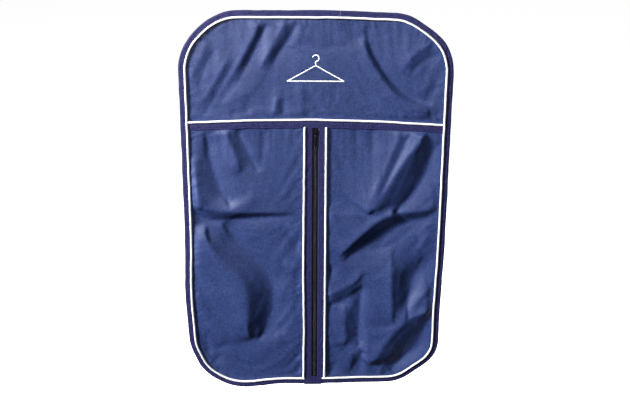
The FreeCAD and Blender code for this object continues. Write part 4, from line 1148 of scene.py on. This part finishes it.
# ------------------------------------------------------------- beside the zip
ZB = refine([(21.5, -7.1), (21.1, -7.25), (19.6, -7.05), (14.0, -7.3), (9.4, -7.05), (7.6, -7.2), (6.8, -6.9), (6.5, -6.2),
             (6.5, -5.2), (6.8, -4.6), (7.6, -4.4), (21.5, -4.4), (21.5, -5.0), (7.5, -5.0), (7.1, -5.4), (7.1, -6.0),
             (7.5, -6.4), (21.5, -6.4)], 1.9)
zb = np.linspace(-256.0, -874.6, 258)
for side, tag, seed in ((-1, "left", 141), (1, "right", 142)):
    base = np.stack([np.zeros(zb.shape), zb], -1)
    w1, w2 = wobble(9, 60, seed, 24), wobble(14, 50, seed + 10, 18)
    w3 = wobble(30, 160, seed + 20, 12)
    p, uv = along(
        ZB, base, np.broadcast_to([1.0 * side, 0.0], base.shape), -zb,
        lambda s, a, y, w1=w1, w2=w2: (y < -6.8) * (0.2 * w1(s + 0.8 * a) + 0.13 * w2(s - 2 * a) + 0.1) * smooth((a - 6.4) / 3),
        lambda s, a, w3=w3: 0.3 * w3(s) * smooth((a - 12) / 8),
    )
    b = Build()
    b.tube(p, 0, uv, flip=(side > 0))
    sz = np.arange(-259.0, -868.0, -3.9)
    for off, k in ((9.1, 5), (19.7, 6)):
        j = 0.1 * np.random.default_rng(seed + k).normal(size=len(sz))
        b.threads(np.stack([side * (off + j), sz], -1), np.stack([side * (off + j), sz - 2.7], -1), 0.26, 0.05, 1, y=-7.3)
    b.make("zip_edge_binding_" + tag, [TAPE, THREAD], replaces=("zip_binding_" + tag,))

    # woven zip tape with a row of stitching through it
    prof = refine([(1.5, -4.36), (2.0, -4.42), (21.0, -4.42), (21.5, -4.36), (21.5, -3.84), (21.0, -3.78), (2.0, -3.78), (1.5, -3.84)], 1.4)
    zt = np.linspace(-241.0, -872.0, 240)
    base = np.stack([np.zeros(zt.shape), zt], -1)
    wt = wobble(14, 70, seed + 30, 18)
    p, uv = along(prof, base, np.broadcast_to([1.0 * side, 0.0], base.shape), -zt,
                  lambda s, a, y, wt=wt: 0.1 * wt(s) * smooth((a - 4) / 4))
    b = Build()
    b.tube(p, 0, uv, flip=(side > 0))
    sz = np.arange(-258.5, -866.0, -2.1)
    b.threads(np.stack([np.full(sz.shape, side * 3.9), sz], -1), np.stack([np.full(sz.shape, side * 3.9), sz - 1.6], -1), 0.18, 0.03, 1, y=-4.45)
    b.make("zip_tape_" + tag + "_woven", [ZIPTAPE, COIL], replaces=("zip_tape_" + tag,))

    # continuous nylon coil: one bent monofilament, its heads meeting the other
    # side's at the middle
    z0, z1, pitch, per = -257.9, -865.6, 1.35, 12
    turns = int((z0 - z1) / pitch)
    t = np.arange(turns * per + 1) / per
    ang = 2 * math.pi * t
    cxx = side * (1.75 - 1.45 * np.cos(ang))
    cy = -5.12 - 0.6 * np.sin(ang)
    cz = z0 - pitch * (t + (0.5 if side > 0 else 0.0)) - 0.12 * pitch * np.sin(2 * ang)
    c = np.stack([cxx, cz, cy], -1)
    tan = np.gradient(c, axis=0)
    tan /= np.linalg.norm(tan, axis=1)[:, None]
    e1 = np.cross(tan, [0.0, 1.0, 0.0])
    e1 /= np.linalg.norm(e1, axis=1)[:, None]
    e2 = np.cross(tan, e1)
    ring5 = np.arange(6) * math.pi / 3
    r = 0.33
    pts = c[:, None] + r * (np.cos(ring5)[None, :, None] * e1[:, None] + np.sin(ring5)[None, :, None] * e2[:, None])
    b = Build()
    b.tube(put(pts[..., 0], pts[..., 1], pts[..., 2]), 0)
    # the cord inside the coil, which carries its stitching
    line = np.stack([np.full(60, side * 2.1), np.linspace(z0, z1, 60)], -1)
    p, uv = along(disc(0.0, 0.3, -5.1, 8), line, np.broadcast_to([1.0, 0.0], line.shape), -line[:, 1])
    b.tube(p, 0, uv)
    b.make("zip_coil_" + tag + "_wound", [COIL], replaces=("zip_coil_" + tag,), sharp=80)


def chip(b, cx, cz, cy, hx, hz, hy, r, mat=0, n=5):
    """A rounded block as a squared-off ball."""
    u = np.linspace(-math.pi / 2, math.pi / 2, 13)
    v = np.linspace(0, 2 * math.pi, 33)[:-1]
    e = 0.28
    f = lambda t: np.sign(np.cos(t)) * np.abs(np.cos(t)) ** e
    g = lambda t: np.sign(np.sin(t)) * np.abs(np.sin(t)) ** e
    x = cx + hx * f(u)[:, None] * f(v)[None]
    z = cz + hz * f(u)[:, None] * g(v)[None]
    y = cy + hy * g(u)[:, None] * np.ones_like(v)[None]
    p = put(x, z, y)
    idx = b.grid(p[1:-1], mat, wrap_v=True)
    for k, row in ((0, idx[0]), (-1, idx[-1])):
        c = b.verts(p[k].mean(0))
        t = np.stack([row[:-1], row[1:], np.full(len(row) - 1, c)], -1)
        b.faces(t if k == 0 else t[:, ::-1], mat)


b = Build()
for side in (-1, 1):
    chip(b, side * 2.3, -256.2, -5.25, 1.7, 1.3, 0.85, 0.3)
b.make("zip_top_stop_clips", [STOP], replaces=("zip_top_stops",))
b = Build()
chip(b, 0, -867.5, -5.25, 4.0, 1.5, 0.85, 0.3)
b.make("zip_bottom_stop_clip", [STOP], replaces=("zip_bottom_stop",))

# --------------------------------------------------------------- the end tab
# A folded tape over the foot of the zip, from the front round under the edge.
tabx = np.linspace(-22.0, 17.0, 34)
_tb = wobble(7, 30, 151, 16)
TAB = refine([(-869.0, -8.05), (-869.3, -8.2), (-871.5, -8.0), (-881.0, -8.35), (-889.2, -8.2), (-890.9, -7.6), (-891.8, -6.4), (-892.0, -5.2),
              (-891.6, -3.9), (-890.6, -3.0), (-889.2, -2.6), (-869.3, -2.6), (-869.0, -2.75), (-869.0, -3.3), (-888.8, -3.4),
              (-890.4, -4.2), (-890.6, -6.2), (-889.0, -7.35), (-869.0, -7.4)], 1.6)


def tab_points(prof, xs):
    zz = np.broadcast_to(prof[None, :, 0], (len(xs), len(prof))).copy()
    yy = np.broadcast_to(prof[None, :, 1], zz.shape).copy()
    xx = np.broadcast_to(xs[:, None], zz.shape)
    f = yy < -7.0
    # a shallow V crease pressed into the front
    v = np.abs((zz + 872) + 0.62 * (15.0 - np.abs(xx + 2.0)))
    yy = yy + f * (0.42 * np.exp(-((v / 1.5) ** 2)) - 0.16 * _tb(xx * 1.3 + zz * 2) - 0.1)
    # flat where the pull hangs over it at the foot of the zip
    yy = yy + f * smooth((7 - np.abs(xx)) / 3) * np.maximum(-8.05 - yy, 0)
    zz = zz + 0.35 * _tb(xx + 40) * (zz > -871)
    return put(xx, zz, yy)


b = Build()
b.tube(tab_points(TAB, tabx), 0, flip=False)
for off in (-871.4,):
    sx = np.arange(-20.0, 14.5, 3.6)
    sx = sx[np.abs(sx + 1.25) > 5.5]
    b.threads(np.stack([sx, np.full(sx.shape, off)], -1), np.stack([sx + 2.5, np.full(sx.shape, off)], -1), 0.25, 0.05, 1, y=-8.25)
for off in (-20.0, 15.0):
    sz = np.arange(-873.0, -887.0, -3.6)
    b.threads(np.stack([np.full(sz.shape, off), sz], -1), np.stack([np.full(sz.shape, off), sz - 2.5], -1), 0.25, 0.05, 1, y=-8.35)
b.make("zip_foot_tab", [TAPE, THREAD], replaces=("zip_end_tab",))

# ---------------------------------------------------- the hook slit's bindings
_sl = wobble(9, 40, 161, 18)
SLIT_F = refine([(-12.5, -7.15), (-11.9, -7.25), (-9.8, -7.0), (-5.0, -7.3), (-1.9, -7.2), (-0.7, -6.8), (0.0, -5.8), (-0.5, -4.7), (-1.6, -4.25),
                 (-5.0, -4.2), (-12.2, -4.2), (-12.5, -4.3), (-12.5, -4.8), (-2.2, -4.9), (-1.1, -5.6), (-1.2, -6.1), (-2.2, -6.4), (-12.5, -6.4)], 2.0)
sx = np.linspace(-52.2, 52.2, 54)
base = np.stack([sx, np.zeros(sx.shape)], -1)
up_n = np.broadcast_to([0.0, 1.0], base.shape)
p, uv = along(SLIT_F, base, up_n, sx, lambda s, a, y: (y < -6.9) * (0.16 * _sl(s + a) + 0.08), None)
b = Build()
b.tube(p, 0, uv, flip=False)
st = np.arange(-49.0, 47.0, 3.9)
b.threads(np.stack([st, np.full(st.shape, -9.9)], -1), np.stack([st + 2.7, np.full(st.shape, -9.9)], -1), 0.26, 0.05, 1, y=-7.25)
b.make("slit_binding_front", [TAPE, THREAD], replaces=("slit_front_binding",))

sx = np.linspace(-51.5, 51.5, 54)
base = np.stack([sx, np.zeros(sx.shape)], -1)
rise = -125 + np.sqrt(130.0**2 - sx**2) + 5.0
SLIT_B = refine([(-12.5, -5.8), (-2.0, -5.85), (-0.8, -5.6), (-0.1, -4.8), (-0.2, -4.2), (-0.9, -3.75), (-2.0, -3.6), (-5.0, -3.5), (-9.8, -3.85), (-11.9, -3.6),
                 (-12.5, -3.7), (-12.5, -4.35), (-2.2, -4.38), (-1.4, -4.7), (-2.2, -5.02), (-12.5, -5.05)], 2.0)
p, uv = along(SLIT_B, base, up_n, sx, None, None)
p = p.copy()
p[..., 1] += (rise[:, None] + 0.0) * 0.001
p[..., 1] += np.where(SLIT_B[None, :, 1] > -4.1, 0.0001 * _sl(sx)[:, None], 0.0)
b = Build()
b.tube(p, 0, uv, flip=False)
b.make("slit_binding_back", [TAPE, THREAD], replaces=("slit_back_binding",))

# bar tacks at the slit's ends: dense crossing threads, front and back
b = Build()
for side in (-1, 1):
    for y, sgn in ((-7.35, 1), (-3.45, -1)):
        zt = np.arange(-1.5, -11.3, -0.42)
        j = 0.12 * np.random.default_rng(171 + side + 3 * sgn).normal(size=(2, len(zt)))
        b.threads(np.stack([side * 54 - 1.25 + j[0], zt], -1), np.stack([side * 54 + 1.25 + j[1], zt - 0.15], -1), 0.24, 0.1 * sgn, 0, y=y)
b.make("slit_bar_tacks", [TACK], replaces=("slit_bartacks",))

# ------------------------------------------------------ the stitched hanger
# A plain coat hanger in white satin stitch: threads lie side by side across
# its line, a little aslant.
neck, mh, mr = -118.0, 62.0, 34.0
hook_c = (0.0, neck + 9 + 7.0)
lines = [
    [(0, neck + 9.0), (0, neck)],
    [(0, neck), (mh, neck - mr)],
    [(mh, neck - mr), (-mh, neck - mr)],
    [(-mh, neck - mr), (0, neck)],
    [(hook_c[0] + 7 * math.cos(math.radians(-90 + 12.5 * i)), hook_c[1] + 7 * math.sin(math.radians(-90 + 12.5 * i))) for i in range(21)],
]
b = Build()
for n, ln in enumerate(lines):
    q = np.array(ln, float)
    seg = np.hypot(*np.diff(q, axis=0).T)
    cum = np.r_[0, np.cumsum(seg)]
    t = np.arange(-0.6, cum[-1] + 0.6, 0.42)
    px = np.interp(t, cum, q[:, 0])
    pz = np.interp(t, cum, q[:, 1])
    dx = np.interp(t + 0.6, cum, q[:, 0]) - np.interp(t - 0.6, cum, q[:, 0])
    dz = np.interp(t + 0.6, cum, q[:, 1]) - np.interp(t - 0.6, cum, q[:, 1])
    L = np.hypot(dx, dz) + 1e-9
    dx, dz = dx / L, dz / L
    jit = np.random.default_rng(181 + n).normal(size=(2, len(t))) * 0.06
    w = 1.3
    ax_, az_ = px - dz * (w + jit[0]) - dx * 0.35, pz + dx * (w + jit[0]) - dz * 0.35
    bx_, bz_ = px + dz * (w + jit[1]) + dx * 0.35, pz - dx * (w + jit[1]) + dz * 0.35
    b.threads(np.stack([ax_, az_], -1), np.stack([bx_, bz_], -1), 0.25, 0.28, 0, y=-5.62, lift=face)
b.make("yoke_hanger_stitching", [WHITE], replaces=("yoke_embroidery",))

# --------------------------------------------------------- slider and its pull
for node, width in (("slider_body", 0.00035), ("pull_tab", 0.0003)):
    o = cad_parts[node]
    o.data.materials.clear()
    o.data.materials.append(ENAMEL)
    bev = o.modifiers.new("edges", "BEVEL")
    bev.width = width
    bev.segments = 2
    bev.limit_method = "ANGLE"
    bev.angle_limit = math.radians(35)

# -------------------------------------------------------------------- setting
def lamp(name, where, aim, size, power, colour=(1, 1, 1), shape="DISK"):
    d = bpy.data.lights.new(name, "AREA")
    d.shape = shape
    d.size = size
    d.energy = power
    d.color = colour
    o = bpy.data.objects.new(name, d)
    bpy.context.collection.objects.link(o)
    o.location = where
    o.rotation_euler = (Vector(aim) - Vector(where)).to_track_quat("-Z", "Y").to_euler()
    return o


lamp("key", (-3.45, -1.66, 1.25), (0, 0, -0.45), 0.85, KEY)
lamp("soft_front", (-0.30, -1.45, 0.85), (0, 0, -0.10), 0.8, FILL)
lamp("back_key", (1.3, 1.9, 0.8), (0, 0, -0.45), 0.9, 68.0)
lamp("back_fill", (-1.6, 1.7, -0.2), (0, 0, -0.45), 1.6, 12.0)
lamp("top_soft", (0.1, 0.6, 1.5), (0, 0, -0.2), 1.6, 4.0)

t = np.linspace(0, 2 * math.pi, 97)[:-1]
me = bpy.data.meshes.new("floor")
me.from_pydata([(40 * math.cos(a), 40 * math.sin(a), -1.3) for a in t], [], [list(range(96))])
floor = bpy.data.objects.new("floor", me)
bpy.context.collection.objects.link(floor)
fm = bpy.data.materials.new("pale_floor")
fm.use_nodes = True
fb = fm.node_tree.nodes["Principled BSDF"]
fb.inputs["Base Color"].default_value = (0.9, 0.9, 0.9, 1)
fb.inputs["Roughness"].default_value = 0.9
fb.inputs["Emission Color"].default_value = (1, 1, 1, 1)
fb.inputs["Emission Strength"].default_value = 0.98
me.materials.append(fm)
floor.visible_diffuse = False
floor.visible_glossy = False

world = bpy.data.worlds.new("studio")
bpy.context.scene.world = world
world.use_nodes = True
world.node_tree.nodes["Background"].inputs["Color"].default_value = (1, 1, 1, 1)
world.node_tree.nodes["Background"].inputs["Strength"].default_value = 1.0
world.cycles_visibility.diffuse = False
world.cycles_visibility.glossy = False
bpy.context.scene.view_settings.view_transform = "Standard"

bpy.context.view_layer.update()
